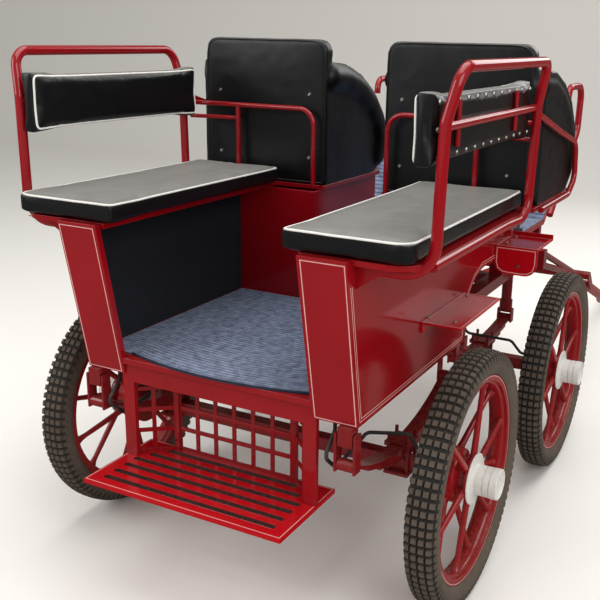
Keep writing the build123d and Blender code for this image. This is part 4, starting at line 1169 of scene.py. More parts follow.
@dataclass(frozen=True)
class Wheels(SubAssembly):
    """Four alike wheels: knobbly tyre, welded steel wheel and white hub cap."""

    sizes: WheelSizes = WheelSizes()
    track_half: float = 0.581
    places: tuple[tuple[str, int, float, float], ...] = (
        # name, side, axle's Y, turn of the tyre's blocks
        ("rear_left", -1, 0.338, 0.2),
        ("rear_right", 1, 0.338, 0.0),
        ("front_left", -1, 1.270, 0.35),
        ("front_right", 1, 1.270, 0.12),
    )
    # Marks that the rubber's soil follows, on worn block tops and on the sidewalls
    worn_mark: float = 0.60
    sidewall_mark: float = 0.8

    def block(self, outline: list[Flat], half_length: float, crown: int) -> Mesh:
        """Make one tread block by drawing a section along the tread.

        Args:
            outline: Section as (across, radius), closed.
            half_length: Half of the block's length round the tyre.
            crown: Number of outline points, from the first, that belong to its worn top.

        Returns:
            The block with its worn face marked in the attribute "relief".
        """
        count = len(outline)
        middle = sum(x for x, _ in outline) / count
        points, worn = [], []
        for end in (-1, 1):
            for number, (x, r) in enumerate(outline):
                taper = self.sizes.block_taper if number < crown else 0.0
                points.append((x + (middle - x) * taper * 30, end * (half_length - taper), r))
                worn.append(self.worn_mark if number < crown else 0.0)
        faces = [tuple(range(count)), tuple(range(2 * count - 1, count - 1, -1))]
        faces += [(k, (k + 1) % count, (k + 1) % count + count, k + count) for k in range(count)]
        mesh = mesh_from("block", points, faces)
        mark_points(mesh, "relief", worn)
        with edited(mesh) as shape:
            bmesh.ops.recalc_face_normals(shape, faces=shape.faces)
        return mesh

    def tyre(self) -> Mesh:
        """Mould a tyre with four rows of blocks.

        Returns:
            The tyre round the origin.
        """
        s = self.sizes
        crown = s.radius - s.tread_depth
        half = [
            (0.0, crown), (0.012, crown - 0.0004), (0.024, crown - 0.002), (0.033, crown - 0.0055),
            (0.0385, crown - 0.011), (0.0410, crown - 0.019), (0.0418, crown - 0.028),
            (0.0405, crown - 0.038), (0.0370, crown - 0.047), (0.0322, crown - 0.0535),
            (0.0300, crown - 0.0555), (0.0296, s.rim_flange + 0.001), (0.0236, s.rim_flange - 0.001),
            (0.0236, s.rim_flange - 0.0125),
        ]
        profile = [(-x, r) for x, r in reversed(half)] + half[1:] + [(-half[-1][0], half[-1][1])]
        carcass = lathe("carcass", profile, 124)
        shoulder = crown - 0.016
        soiled = [math.hypot(v.co.y, v.co.z) <= shoulder for v in carcass.vertices]
        mark_points(carcass, "relief", [self.sidewall_mark if side else 0.0 for side in soiled])
        pitch = 2 * math.pi * s.radius / s.pitches
        rows = (
            # section, half length as a share of the pitch, points of its worn top
            (((0.0030, s.radius), (0.0165, s.radius - 0.0006), (0.0180, crown - 0.003),
              (0.0015, crown - 0.003)), 0.33, 2),
            (((0.0225, s.radius - 0.0016), (0.0345, s.radius - 0.0055), (0.0365, crown - 0.0110),
              (0.0205, crown - 0.0050)), 0.33, 2),
            (((0.0386, s.radius - 0.0120), (0.0424, crown - 0.0160), (0.0425, crown - 0.0265),
              (0.0400, crown - 0.0270), (0.0360, crown - 0.0125)), 0.30, 3),
        )
        blocks = []
        for side in (-1, 1):
            for section, share, worn_points in rows:
                blocks.append(self.block([(side * x, r) for x, r in section], share * pitch, worn_points))
        rubber = self.finish(Finish.RUBBER)
        tread = self.makers.rings.run("tread_rows", joined("pitch", blocks), rubber, count=s.pitches)
        smooth_by_angle(tread, 25)
        carcass.materials.append(rubber)
        return joined("tyre", [carcass, tread])

    def rim(self) -> Mesh:
        """Roll the rim's well and flanges.

        Returns:
            The rim round the origin.
        """
        half, edge, seat = self.sizes.rim_half, self.sizes.rim_flange, self.sizes.rim_flange - 0.013
        outside = [
            (0.0240, edge - 0.0005), (0.0262, edge + 0.0012), (half, edge - 0.0010), (half, seat - 0.002),
            (0.0265, seat - 0.0045), (0.0190, seat - 0.0055), (0.0160, seat - 0.0125),
            (0.0130, seat - 0.0140),
        ]
        inside = [(0.0115, seat - 0.0095), (0.0150, seat), (0.0240, seat)]
        across = [(-x, r) for x, r in [*reversed(outside), *reversed(inside)]]
        return lathe("rim", [*outside, *across, *inside, outside[0]], 128)

    def hub(self) -> Mesh:
        """Turn the drum and the hub in one.

        Returns:
            The drum and hub round the origin.
        """
        s = self.sizes
        inner, outer, face = s.drum_inner, s.drum_outer, s.hub_face
        profile = [
            (inner, s.hub_bore), (inner, s.drum_radius - 0.003), (inner + 0.003, s.drum_radius),
            (inner + 0.010, s.drum_radius), (inner + 0.012, s.drum_radius - 0.003),
            (outer - 0.012, s.drum_radius - 0.003), (outer - 0.004, s.drum_radius - 0.006),
            (outer, s.drum_radius - 0.014), (outer, s.hub_radius + 0.004), (outer + 0.004, s.hub_radius),
            (face - 0.010, s.hub_radius), (face - 0.008, s.hub_radius + 0.003),
            (face - 0.008, s.flange_radius - 0.001), (face - 0.007, s.flange_radius),
            (face - 0.0004, s.flange_radius), (face - 0.0004, s.hub_bore), (inner, s.hub_bore),
        ]
        return lathe("hub", profile, 72)

    def rim_line(self) -> Mesh:
        """Line the outer face of the rim's flange.

        Returns:
            The line round the origin.
        """
        x, radius = self.sizes.rim_half, self.sizes.line_radius
        angles = [math.radians(3 * k) for k in range(120)]
        ring = [Vector((x, radius * math.cos(a), radius * math.sin(a))) for a in angles]
        line = ribbon("rim_line", ring, Vector((1, 0, 0)), True, self.sizes.line_width)
        line.materials.append(self.finish(Finish.STRIPE))
        return line

    def wheel(self) -> Mesh:
        """Weld rim, spokes, drum and hub, and line the rim.

        Returns:
            The wheel round the origin.
        """
        s = self.sizes
        paint = self.finish(Finish.WHEEL_PAINT)
        rim, hub = self.rim(), self.hub()
        rim.materials.append(paint)
        hub.materials.append(paint)
        line = self.rim_line()
        rim_r = s.rim_flange - 0.0275
        ends = (
            # turn in steps, hub offset, hub radius, rim offset
            (0.5, (s.drum_inner + s.drum_outer) / 2, s.drum_radius - 0.006, -0.007),
            (1.5, s.hub_face - 0.010, s.hub_radius - 0.002, 0.007),
        )
        pair = []
        for turn, hub_x, hub_r, tip_x in ends:
            foot, tip = Vector((hub_x, 0, hub_r)), Vector((tip_x, 0, rim_r))
            run = (tip - foot).length
            bar = [
                (0.0, 0.0), (0.0, 0.0125), (0.010, 0.0104), (0.022, s.spoke_radius + 0.0008),
                (run - 0.030, s.spoke_radius - 0.001), (run - 0.014, s.spoke_radius + 0.0004),
                (run - 0.005, 0.0118), (run, 0.0135), (run, 0.0),
            ]
            spoke = lathe("spoke", bar, 16)
            aim = (tip - foot).to_track_quat("X", "Z").to_matrix().to_4x4()
            spin = Matrix.Rotation(turn * 2 * math.pi / s.spokes, 4, "X")
            pair.append(placed(spoke, spin @ Matrix.Translation(foot) @ aim))
        spokes = self.makers.rings.run("spokes", joined("pair", pair), paint, count=s.spokes // 2)
        smooth_by_angle(spokes, 40)
        return joined("wheel", [rim, hub, spokes, line])

    def cap(self) -> Mesh:
        """Mould the hub cap: a thin flange, a grooved barrel and a recessed end.

        Returns:
            The cap round the origin.
        """
        s = self.sizes
        start, end = s.hub_face, s.hub_face + s.cap_length
        groove_a, groove_b = start + 0.45 * s.cap_length, start + 0.70 * s.cap_length
        profile = [
            (start, 0.0), (start, s.cap_flange - 0.001), (start + 0.0012, s.cap_flange),
            (start + 0.0035, s.cap_flange - 0.0003), (start + 0.0048, s.cap_flange - 0.002),
            (start + 0.0058, s.cap_radius + 0.008), (start + 0.0075, s.cap_radius + 0.003),
            (start + 0.0115, s.cap_radius - 0.0002), (groove_a, s.cap_radius - 0.0012),
            (groove_a + 0.0004, s.cap_radius - 0.0036), (groove_a + 0.0026, s.cap_radius - 0.0036),
            (groove_a + 0.003, s.cap_radius - 0.001), (groove_b, s.cap_radius - 0.0006),
            (groove_b + 0.0004, s.cap_radius - 0.0028), (groove_b + 0.0022, s.cap_radius - 0.0028),
            (groove_b + 0.0026, s.cap_radius), (end - 0.0016, s.cap_radius), (end, s.cap_radius - 0.0016),
            (end, 0.0375), (end - 0.0015, 0.0355), (end - 0.0058, 0.0345), (end - 0.0068, 0.032),
            (end - 0.0068, 0.0),
        ]
        mesh = lathe("cap", profile, 96)
        smooth_by_angle(mesh, 28)
        return mesh

    def build(self) -> None:
        """Make one of each piece and set it at the four wheels."""
        tyre, wheel, cap = self.tyre(), self.wheel(), self.cap()
        for name, side, axle_y, tread_turn in self.places:
            centre = Matrix.Translation((side * self.track_half, axle_y, self.sizes.radius))
            stand = centre @ Matrix.Rotation(math.pi if side < 0 else 0.0, 4, "Z")
            spin = Matrix.Rotation(tread_turn, 4, "X")
            pieces = (
                # name, mesh, finish, slot, CAD node
                ("knobbly_tyre", placed(tyre, stand @ spin), None, "tyre", "tyre"),
                ("spoked_wheel", placed(wheel, stand), None, "painted_steel", "wheel"),
                ("grooved_cap", placed(cap, stand), Finish.CAP_WHITE, "cap_plastic", "hub_cap"),
            )
            for piece, mesh, finish, slot, node in pieces:
                self.dresser.mount(
                    f"{piece}_{name}", mesh, finish, f"{name}_wheel", slot, (f"{node}_{name}",)
                )


# Bent tubes


@dataclass(frozen=True)
class TubeWork(SubAssembly):
    """Guard rails and seat rails, all bent from round tube."""

    # Each tube has its diameter, then X, Y, Z and bend radius of its points on the right side
    rails: tuple[Tube, ...] = (
        (0.026, (
            (0.340, -0.020, 0.9865, 0.0), (0.5903, -0.012, 0.9865, 0.074), (0.596, -0.008, 1.312, 0.04),
            (0.621, 0.010, 1.426, 0.05), (0.621, 0.672, 1.426, 0.05), (0.596, 0.690, 1.312, 0.04),
            (0.5903, 0.690, 1.0005, 0.06), (0.5743, 0.560, 1.0005, 0.3), (0.5723, 0.020, 1.0005, 0.0),
        )),
        # The bar below the back pad, and the two that hold it
        (0.020, ((0.591, -0.008, 1.304, 0.0), (0.591, 0.690, 1.304, 0.0))),
        (0.012, ((0.5857, 0.097, 1.256, 0.0), (0.5857, 0.097, 1.356, 0.0))),
        (0.012, ((0.5857, 0.520, 1.256, 0.0), (0.5857, 0.520, 1.356, 0.0))),
    )
    seats: tuple[Tube, ...] = (
        # The hoop behind the seat, its strut, its link to the guard rail and the arm rail
        (0.0155, (
            (0.594, 0.7033, 1.257, 0.0), (0.594, 0.742, 1.257, 0.025), (0.128, 0.742, 1.257, 0.052),
            (0.128, 0.742, 1.014, 0.0),
        )),
        (0.0155, ((0.412, 0.742, 1.014, 0.0), (0.412, 0.742, 1.253, 0.0))),
        (0.013, ((0.412, 0.742, 1.215, 0.0), (0.581, 0.7133, 1.215, 0.0))),
        (0.018, (
            (0.598, 0.708, 1.283, 0.0), (0.6033, 0.964, 1.214, 0.2), (0.6033, 1.160, 1.168, 0.06),
            (0.6033, 1.185, 1.050, 0.04), (0.6033, 1.110, 1.007, 0.05), (0.6033, 0.790, 1.007, 0.0),
        )),
    )

    def bent(self, side: int, tube: Tube) -> Mesh:
        """Bend one tube on one side of the carriage.

        Args:
            side: 1 for right, -1 for left.
            tube: Its diameter and its points.

        Returns:
            The tube.
        """
        diameter, table = tube
        route = [(side * x, y, z) for x, y, z, _ in table]
        bends = [radius for *_, radius in table[1:-1]]
        return self.makers.tube("tube", route, bends, diameter, self.finish(Finish.PAINT))

    def build(self) -> None:
        """Bend every rail."""
        groups = (("bench_rail", "guard_rail", self.rails), ("seat_tubes", "seat_rail", self.seats))
        for side_name, side in SIDES:
            for name, node, tubes in groups:
                mesh = joined(name, [self.bent(side, tube) for tube in tubes])
                nodes = (f"{node}_{side_name}",)
                self.dresser.mount(f"{name}_{side_name}", mesh, None, ROOT, "painted_steel", nodes)


# Body panels and running gear that keep the CAD's shape


@dataclass(frozen=True)
class Bodywork(SubAssembly):
    """Panels, frames and gear as the CAD makes them, with softened edges and a few mends."""

    pillar_top: float = 0.9877
    pillar_reach: float = 1.013
    pillar_lean: float = 0.0049
    pillar_y: float = -0.0626
    board_inner: Flat = (0.255, 0.283)
    gusset_x: Flat = (0.416, 0.572)
    gusset_z: Flat = (0.940, 1.000)
    gusset_hollow: float = 1.2
    slots_half_x: float = 0.295
    slots_y: Flat = (-0.165, 0.100)
    softened: tuple[tuple[tuple[str, ...], Finish, str, str, float], ...] = (
        # nodes, finish, body, slot, edge width
        (("side_wall_left", "side_wall_right"), Finish.PAINT, ROOT, "painted_panel", 0.0015),
        (
            ("bulkhead", "seat_box_left", "seat_box_right", "driver_floor"),
            Finish.PAINT, ROOT, "painted_panel", 0.0012,
        ),
        (("bench_board_left", "bench_board_right"), Finish.PAINT, ROOT, "painted_panel", 0.0015),
        (("seat_board_left", "seat_board_right", "floor_panel"), Finish.PAINT, ROOT, "painted_panel", 0.0012),
        (("side_steps", "front_steps"), Finish.LIT_STEP_PAINT, ROOT, "painted_steel", 0.0010),
        (("rear_step_plate",), Finish.LIT_STEP_PAINT, ROOT, "painted_steel", 0.0012),
        (("rear_step_frame",), Finish.PAINT, ROOT, "painted_steel", 0.0008),
        (("chassis_frame",), Finish.GEAR_PAINT, ROOT, "painted_steel", 0.0012),
        (("rear_axle",), Finish.GEAR_PAINT, ROOT, "painted_steel", 0.0015),
        (("front_axle",), Finish.GEAR_PAINT, FORE, "painted_steel", 0.0015),
        (("fore_frame",), Finish.GEAR_PAINT, FORE, "painted_steel", 0.0012),
    )
    plain: tuple[tuple[tuple[str, ...], Finish], ...] = (
        (("rear_springs", "front_springs"), Finish.GEAR_PAINT),
        (("dash_rails", "shaft_left", "shaft_right"), Finish.PAINT),
        (("brake_lever",), Finish.BLACK_STEEL),
        (("wall_linings",), Finish.LINING),
        (("brake_hoses", "front_brake_hoses"), Finish.HOSE),
    )

    def raise_pillar(self, mesh: Mesh) -> None:
        """Carry a rear pillar up behind the bench board's edge, to just under the cushion.

        Args:
            mesh: Mesh of a side wall, in the shared frame.
        """
        for vertex in mesh.vertices:
            if abs(vertex.co.z - self.pillar_top) < 0.0004:
                vertex.co.z = self.pillar_reach
                vertex.co.y = min(vertex.co.y - self.pillar_lean, self.pillar_y - MIDDLE_Y)
        mesh.update()

    def tuck_board(self, mesh: Mesh) -> None:
        """Set a bench board's inner edge back under the cushion and hollow the curve of its gussets.

        Args:
            mesh: Mesh of a bench board, in the shared frame.
        """
        old, tucked = self.board_inner
        near, far = self.gusset_x
        foot, top = self.gusset_z
        for vertex in mesh.vertices:
            if abs(abs(vertex.co.x) - old) < 0.0005:
                vertex.co.x = math.copysign(tucked, vertex.co.x)
            share = (abs(vertex.co.x) - near) / (far - near)
            if vertex.co.z < top - 0.0002 and 0.005 < share < 0.995:
                chord = foot + (top - foot) * share
                vertex.co.z = min(chord + self.gusset_hollow * (chord - vertex.co.z), top - 0.0015)
        mesh.update()

    def paint_slot_shade(self, mesh: Mesh) -> None:
        """Paint the upright faces inside the rear step's slots dark, as painted shade.

        Args:
            mesh: Mesh of the rear step's plate, in the shared frame.
        """
        mesh.materials.append(self.finish(Finish.SLOT_SHADE_PAINT))
        rear, front = self.slots_y
        for face in mesh.polygons:
            middle = face.center
            inside = abs(middle.x) < self.slots_half_x and rear < middle.y + MIDDLE_Y < front
            if inside and abs(face.normal.z) < 0.5:
                face.material_index = 1

    def build(self) -> None:
        """Dress every panel and frame."""
        mends = {
            "side_wall": self.raise_pillar,
            "bench_board": self.tuck_board,
            "rear_step_plate": self.paint_slot_shade,
        }
        for nodes, finish, body, slot, edge in self.softened:
            for node in nodes:
                piece = self.dresser.dressed_copy(node, finish, body, slot, edge)
                for start, mend in mends.items():
                    if node.startswith(start):
                        mend(piece.data)
        for nodes, finish in self.plain:
            for node in nodes:
                self.dresser.paint_node(node, finish)


@dataclass(frozen=True)
class Floors(SubAssembly):
    """Ribbed carpet on the rear floor and ribbed mats at the driver's feet."""

    half_width: float = 0.389
    edge_half: float = 0.285
    rear_y: float = -0.010
    corner: float = 0.034
    bow: float = 0.012
    front_y: float = 0.722
    low: float = 0.6372
    thickness: float = 0.0046
    rib_pitch: float = 0.0150
    rib_depth: float = 0.0026
    rib_fullness: float = 1.35
    binding: float = 0.0068
    mat_pitch: float = 0.022
    mat_depth: float = 0.0024
    mat_fullness: float = 1.8
    mat_gap: float = 0.0012
    toe_slope: Flat = (0.320, 0.362)
    mat_runs: tuple[tuple[float, Flat, Flat], ...] = (
        # half width, Y and Z of the start, Y and Z of the end
        (0.106, (0.741, 0.8062), (1.1848, 0.8062)),
        (0.393, (1.1862, 0.8062), (1.657, 0.8062)),
        (0.393, (1.6605, 0.8066), (2.021, 1.1255)),
    )
    rows_per_rib: int = 6
    valley_mark: float = 0.9

    def edge_y(self, x: float) -> float:
        """Y of the carpet's bowed rear edge.

        Args:
            x: Distance from the middle.

        Returns:
            The edge's Y.
        """
        share = min(1.0, abs(x) / self.edge_half)
        return self.rear_y - self.bow + (self.corner + self.bow) * share ** 2

    def ribs(self, length: float, pitch: float, fullness: float) -> list[Flat]:
        """Spread ribs over a length.

        Args:
            length: Length that they fill.
            pitch: Distance from rib to rib.
            fullness: Above 1 the ribs are flatter on top and the valleys narrower.

        Returns:
            Share of the length and height of the rib there, both from 0 to 1, for each row of points.
        """
        count = round(length / pitch) * self.rows_per_rib
        rows = []
        for r in range(count + 1):
            rows.append((r / count, min(1.0, fullness * abs(math.sin(math.pi * r / self.rows_per_rib)))))
        return rows

    def slab(self, name: str, rows: list[list[Vector]], waves: list[float], down: float) -> Mesh:
        """Close a grid of top points into a thin slab.

        Args:
            name: Name of the mesh.
            rows: Top points, row by row.
            waves: Height of the rib at each row, 1 on a rib and 0 in a valley.
            down: Height of the flat underside, or its distance below the top where negative.

        Returns:
            The slab.
        """
        count, wide = len(rows), len(rows[0])
        top = [point for row in rows for point in row]
        if down > 0:
            under = [Vector((p.x, p.y, down)) for p in top]
        else:
            under = [p + Vector((0, 0, down)) for p in top]
        size = len(top)
        faces = []
        for r in range(count - 1):
            for c in range(wide - 1):
                a = r * wide + c
                faces.append((a, a + 1, a + wide + 1, a + wide))
                faces.append((size + a, size + a + wide, size + a + wide + 1, size + a + 1))
        rim = [*range(wide), *[r * wide + wide - 1 for r in range(1, count)]]
        rim += [(count - 1) * wide + c for c in range(wide - 2, -1, -1)]
        rim += [r * wide for r in range(count - 2, 0, -1)]
        for k, a in enumerate(rim):
            b = rim[(k + 1) % len(rim)]
            faces.append((a, size + a, size + b, b))
        mesh = mesh_from(name, top + under, faces)
        # The mark "valley" darkens the carpet between the ribs and on the underside: dirt and painted shade
        valleys = [self.valley_mark * (1 - wave) for wave in waves for _ in range(wide)]
        mark_points(mesh, "valley", valleys + [1.0] * size)
        outward(mesh)
        smooth_by_angle(mesh, 60)
        return mesh

    def carpet(self) -> None:
        """Lay the rear carpet, its ribs parallel to the bowed edge, and bind that edge."""
        inner = [self.edge_half * (k / 12 - 1) for k in range(25)]
        between = (self.half_width + self.edge_half) / 2
        columns = [-self.half_width, -between, *inner, between, self.half_width]
        ribs = self.ribs(self.front_y - self.rear_y, self.rib_pitch, self.rib_fullness)
        valley_z = self.low + self.thickness - self.rib_depth
        rows = []
        for share, wave in ribs:
            z = valley_z + self.rib_depth * wave
            edges = [(x, self.edge_y(x)) for x in columns]
            rows.append([Vector((x, y + (self.front_y - y) * share, z)) for x, y in edges])
        mesh = self.slab("carpet", rows, [wave for _, wave in ribs], self.low)
        piece = self.dresser.mount(
            "ribbed_floor_carpet", mesh, Finish.RIBBED_CARPET, ROOT, "carpet", ("floor_carpet",)
        )
        2 * self.half_width
        self.front_y - self.rear_y + self.bow
        across = [self.edge_half * (k / 20 - 1) for k in range(41)]
        edge = [(x, self.edge_y(x) + 0.002, self.low + 0.0035) for x in across]
        navy = self.finish(Finish.BINDING)
        welt = self.makers.tube("binding", edge, [0.0] * (len(edge) - 2), self.binding, navy, 10)
        self.dresser.mount("carpet_binding", welt, None, ROOT, "carpet")

    def mats(self) -> None:
        """Lay the driver's mat: deep ribs across the aisle, the floor and the toe board."""
        meshes = []
        for half, start_at, end_at in self.mat_runs:
            start, end = Vector((0, *start_at)), Vector((0, *end_at))
            up = Vector((1, 0, 0)).cross((end - start).normalized())
            ribs = self.ribs((end - start).length, self.mat_pitch, self.mat_fullness)
            rows = []
            for share, wave in ribs:
                lift = self.thickness - self.mat_depth + self.mat_depth * wave
                middle = start + (end - start) * share + up * lift
                rows.append([middle + Vector((half * (k / 4 - 1), 0, 0)) for k in range(9)])
            slanting = -self.mat_gap / math.cos(math.atan2(*self.toe_slope))
            down = start.z if abs(up.z) > 0.999 else slanting
            meshes.append(self.slab("mat", rows, [wave for _, wave in ribs], down))
        self.dresser.mount(
            "ribbed_driver_mats", joined("mats", meshes), Finish.RIBBED_CARPET, ROOT, "carpet",
            ("ribbed_mat",),
        )

    def build(self) -> None:
        """Lay the carpet and the mats."""
        self.carpet()
        self.mats()


@dataclass(frozen=True)
class LiningWork(SubAssembly):
    """Pale pink lines that a brush liner pulls along the edges of the panels and steps."""

    outer_x: float = 0.416
    pillar_x: Flat = (0.300, 0.411)
    pillar_z: Flat = (0.595, 1.003)
    wide_line: float = 0.0026
    line: float = 0.0022
    wall_insets: Flat = (0.012, 0.020)
    wall_foot: float = 0.590
    wall_top: float = 0.950
    wall_corners: tuple[Four, ...] = (
        # Y and Z of the edge, and how many insets the line lies off it in Y and in Z
        (0.713, 0.590, -0.3, 1.0), (0.742, 0.722, -0.92, 0.4), (0.800, 0.768, -0.7, 0.75),
        (0.862, 0.789, 0.0, 1.0), (0.930, 0.788, 0.0, 1.0), (1.180, 0.788, -1.0, 1.0),
        (1.180, 0.930, -1.0, 0.0),
    )
    frame_inset: float = 0.0045
    step_tops: tuple[tuple[Flat, Flat, float], ...] = (
        # X range, Y range and height of the right side's steps
        ((0.416, 0.530), (0.365, 0.700), 0.752),
        ((0.416, 0.556), (0.984, 1.169), 0.842),
    )
    rear_step: tuple[Flat, Flat, float] = ((-0.302, 0.302), (-0.171, 0.106), 0.348)
    flap_y: float = 0.984
    flap: tuple[Flat, ...] = (
        # X and Z of the line on the front step's hanging flap
        (0.423, 0.835), (0.423, 0.790), (0.429, 0.769), (0.444, 0.759), (0.462, 0.757), (0.510, 0.757),
        (0.528, 0.759), (0.543, 0.769), (0.549, 0.790), (0.549, 0.835),
    )

    @staticmethod
    def lean(z: float) -> float:
        """Y of the leaning rear face of the pillars.

        Args:
            z: Height.

        Returns:
            The face's Y.
        """
        return -0.004 - 0.080 * (z - 0.590) / 0.410

    def pillar(self, side: int) -> Mesh:
        """Frame the rear face of a pillar.

        Args:
            side: 1 for right, -1 for left.

        Returns:
            The line.
        """
        (near, far), (low, high) = self.pillar_x, self.pillar_z
        corners = [(near, low), (far, low), (far, high), (near, high)]
        path = [Vector((side * x, self.lean(z), z)) for x, z in corners]
        normal = Vector((0, -0.410, -0.080)).normalized()
        return ribbon("line", path, normal, True, self.wide_line)

    def wall(self, side: int) -> list[Mesh]:
        """Draw two lines round the rear, lower and arched edges of a wall's outer face.

        Args:
            side: 1 for right, -1 for left.

        Returns:
            The lines.
        """
        lines = []
        for inset in self.wall_insets:
            foot = self.wall_foot + inset
            path = [(self.lean(self.wall_top) + inset, self.wall_top), (self.lean(foot) + inset, foot)]
            path += [(y + along * inset, z + up * inset) for y, z, along, up in self.wall_corners]
            points = [Vector((side * self.outer_x, y, z)) for y, z in path]
            lines.append(ribbon("line", points, Vector((side, 0, 0)), False, self.line))
        return lines

    def step_frame(self, x_range: Flat, y_range: Flat, z: float) -> Mesh:
        """Frame a step's level top a little inside its edges.

        Args:
            x_range: X of its two sides.
            y_range: Y of its rear and its front.
            z: Its height.

        Returns:
            The line.
        """
        (left, right), (rear, front), inset = sorted(x_range), y_range, self.frame_inset
        xs, ys = (left + inset, right - inset), (rear + inset, front - inset)
        path = [Vector((xs[u], ys[v], z)) for u, v in ((0, 0), (1, 0), (1, 1), (0, 1))]
        return ribbon("line", path, Vector((0, 0, 1)), True, self.line)

    def build(self) -> None:
        """Line both sides and the steps."""
        lines = []
        for _, side in SIDES:
            lines += [self.pillar(side), *self.wall(side)]
            for (near, far), y_range, z in self.step_tops:
                lines.append(self.step_frame((side * near, side * far), y_range, z))
            hanging = [Vector((side * x, self.flap_y, z)) for x, z in self.flap]
            lines.append(ribbon("line", hanging, Vector((0, -1, 0)), True, self.wide_line))
        lines.append(self.step_frame(*self.rear_step))
        self.dresser.mount("fine_lining", joined("lines", lines), Finish.STRIPE, ROOT, "painted_panel")


@dataclass(frozen=True)
class Bolts(SubAssembly):
    """Hexagon heads where the real carriage's steps are bolted on."""

    spots: tuple[tuple[Point, Point], ...] = (
        # place on the right side and the way it faces
        ((0.420, 0.412, 0.752), (0, 0, 1)), ((0.494, 0.412, 0.752), (0, 0, 1)),
        ((0.436, 0.670, 0.752), (0, 0, 1)), ((0.495, 0.984, 0.780), (0, -1, 0)),
        ((0.440, 1.030, 0.842), (0, 0, 1)), ((0.440, 1.130, 0.842), (0, 0, 1)),
    )
    head_radius: float = 0.0062
    head_height: float = 0.0042

    def build(self) -> None:
        """Set every head."""
        spots = []
        for _, side in SIDES:
            spots += [((side * x, y, z), (side * way[0], *way[1:])) for (x, y, z), way in self.spots]
        zinc = self.finish(Finish.ZINC)
        heads = self.makers.heads("bolts", spots, self.head_radius, self.head_height, zinc, 6)
        self.dresser.mount("body_bolts", heads, None, ROOT, "painted_steel")


# Upholstery


def fitted(mesh: Mesh, low: Point, high: Point) -> Mesh:
    """Stretch a cover so that it fills a box.

    Args:
        mesh: Mesh to change.
        low: Lower corner of the box.
        high: Upper corner of the box.

    Returns:
        The same mesh.
    """
    for axis in range(3):
        values = [vertex.co[axis] for vertex in mesh.vertices]
        start, end = min(values), max(values)
        scale = (high[axis] - low[axis]) / (end - start)
        for vertex, value in zip(mesh.vertices, values):
            vertex.co[axis] = low[axis] + (value - start) * scale
    mesh.update()
    return mesh


def mirrored(mesh: Mesh) -> Mesh:
    """Copy a mesh to the carriage's other side.

    Args:
        mesh: Mesh of the right-hand side.

    Returns:
        The left-hand copy, with its faces outwards.
    """
    copy = mesh.copy()
    copy.transform(Matrix.Scale(-1, 4, (1, 0, 0)))
    copy.flip_normals()
    return copy


@dataclass(frozen=True)
class Puff:
    """How a covered foam piece swells under its cover."""

    voxel: float = 0.006
    shrink: float = 0.002
    pressure: float = 4.0
    travel: float = 0.009
    frames: int = 20

    def skin(self, mesh: Mesh) -> Mesh:
        """Give a closed mesh an even skin, a little smaller than the piece.

        Args:
            mesh: The plain piece.

        Returns:
            The skin.
        """
        carrier = new_object("puff", mesh)
        remesh = carrier.modifiers.new("skin", "REMESH")
        remesh.mode = "VOXEL"
        remesh.voxel_size = self.voxel
        skin = evaluated(carrier)
        bpy.data.objects.remove(carrier)
        set_points(skin, [vertex.co - vertex.normal * self.shrink for vertex in skin.vertices])
        return skin

    def blown(self, skin: Mesh) -> list[Vector]:
        """Blow a skin up as cloth under pressure.

        Args:
            skin: The skin.

        Returns:
            The new place of each of its points.
        """
        start = [vertex.co.copy() for vertex in skin.vertices]
        carrier = new_object("puff", skin)
        cloth = carrier.modifiers.new("cover", "CLOTH")
        rules = cloth.settings
        rules.quality = 5
        rules.mass = 0.3
        rules.tension_stiffness = 20
        rules.compression_stiffness = 20
        rules.shear_stiffness = 8
        rules.bending_stiffness = 2
        rules.use_pressure = True
        rules.uniform_pressure_force = self.pressure
        rules.effector_weights.gravity = 0
        cloth.collision_settings.use_collision = False
        scene = bpy.context.scene
        for number in range(1, self.frames + 1):
            scene.frame_set(number)
        swollen = evaluated(carrier)
        scene.frame_set(1)
        carrier.modifiers.remove(cloth)
        bpy.data.objects.remove(carrier)
        moved = []
        for old, vertex in zip(start, swollen.vertices):
            step = vertex.co - old
            moved.append(old + step * min(1.0, self.travel / max(step.length, 1e-9)))
        bpy.data.meshes.remove(swollen)
        return moved

    def swell(self, mesh: Mesh) -> Mesh:
        """Swell a closed mesh.

        Args:
            mesh: The plain piece.

        Returns:
            The swollen piece, with one subdivision.
        """
        skin = self.skin(mesh)
        set_points(skin, self.blown(skin))
        carrier = new_object("puff", skin)
        easing = carrier.modifiers.new("easing", "SMOOTH")
        easing.factor = 0.5
        easing.iterations = 3
        finer = carrier.modifiers.new("finer", "SUBSURF")
        finer.levels = 1
        finer.render_levels = 1
        result = evaluated(carrier)
        bpy.data.objects.remove(carrier)
        result.shade_smooth()
        return result


def rounded_outline(low: Flat, high: Flat, corners: Four, step: float = 0.012) -> list[Flat]:
    """Walk round a rectangle with rounded corners.

    Args:
        low: Lower corner.
        high: Upper corner.
        corners: Radii from the lower left corner on, anticlockwise.
        step: Distance between points.

    Returns:
        Points of the closed outline.
    """
    centres = (
        (low[0] + corners[0], low[1] + corners[0], corners[0], 180),
        (high[0] - corners[1], low[1] + corners[1], corners[1], 270),
        (high[0] - corners[2], high[1] - corners[2], corners[2], 0),
        (low[0] + corners[3], high[1] - corners[3], corners[3], 90),
    )
    rough = []
    for x, y, radius, start in centres:
        count = max(3, round(radius * math.pi / 2 / step))
        for k in range(count + 1):
            angle = math.radians(start + 90 * k / count)
            rough.append((x + radius * math.cos(angle), y + radius * math.sin(angle)))
    points = []
    for here, there in zip(rough, rough[1:] + rough[:1]):
        span = math.dist(here, there)
        pieces = max(1, round(span / step))
        points += [
            (here[0] + (there[0] - here[0]) * k / pieces, here[1] + (there[1] - here[1]) * k / pieces)
            for k in range(pieces)
        ]
    return points


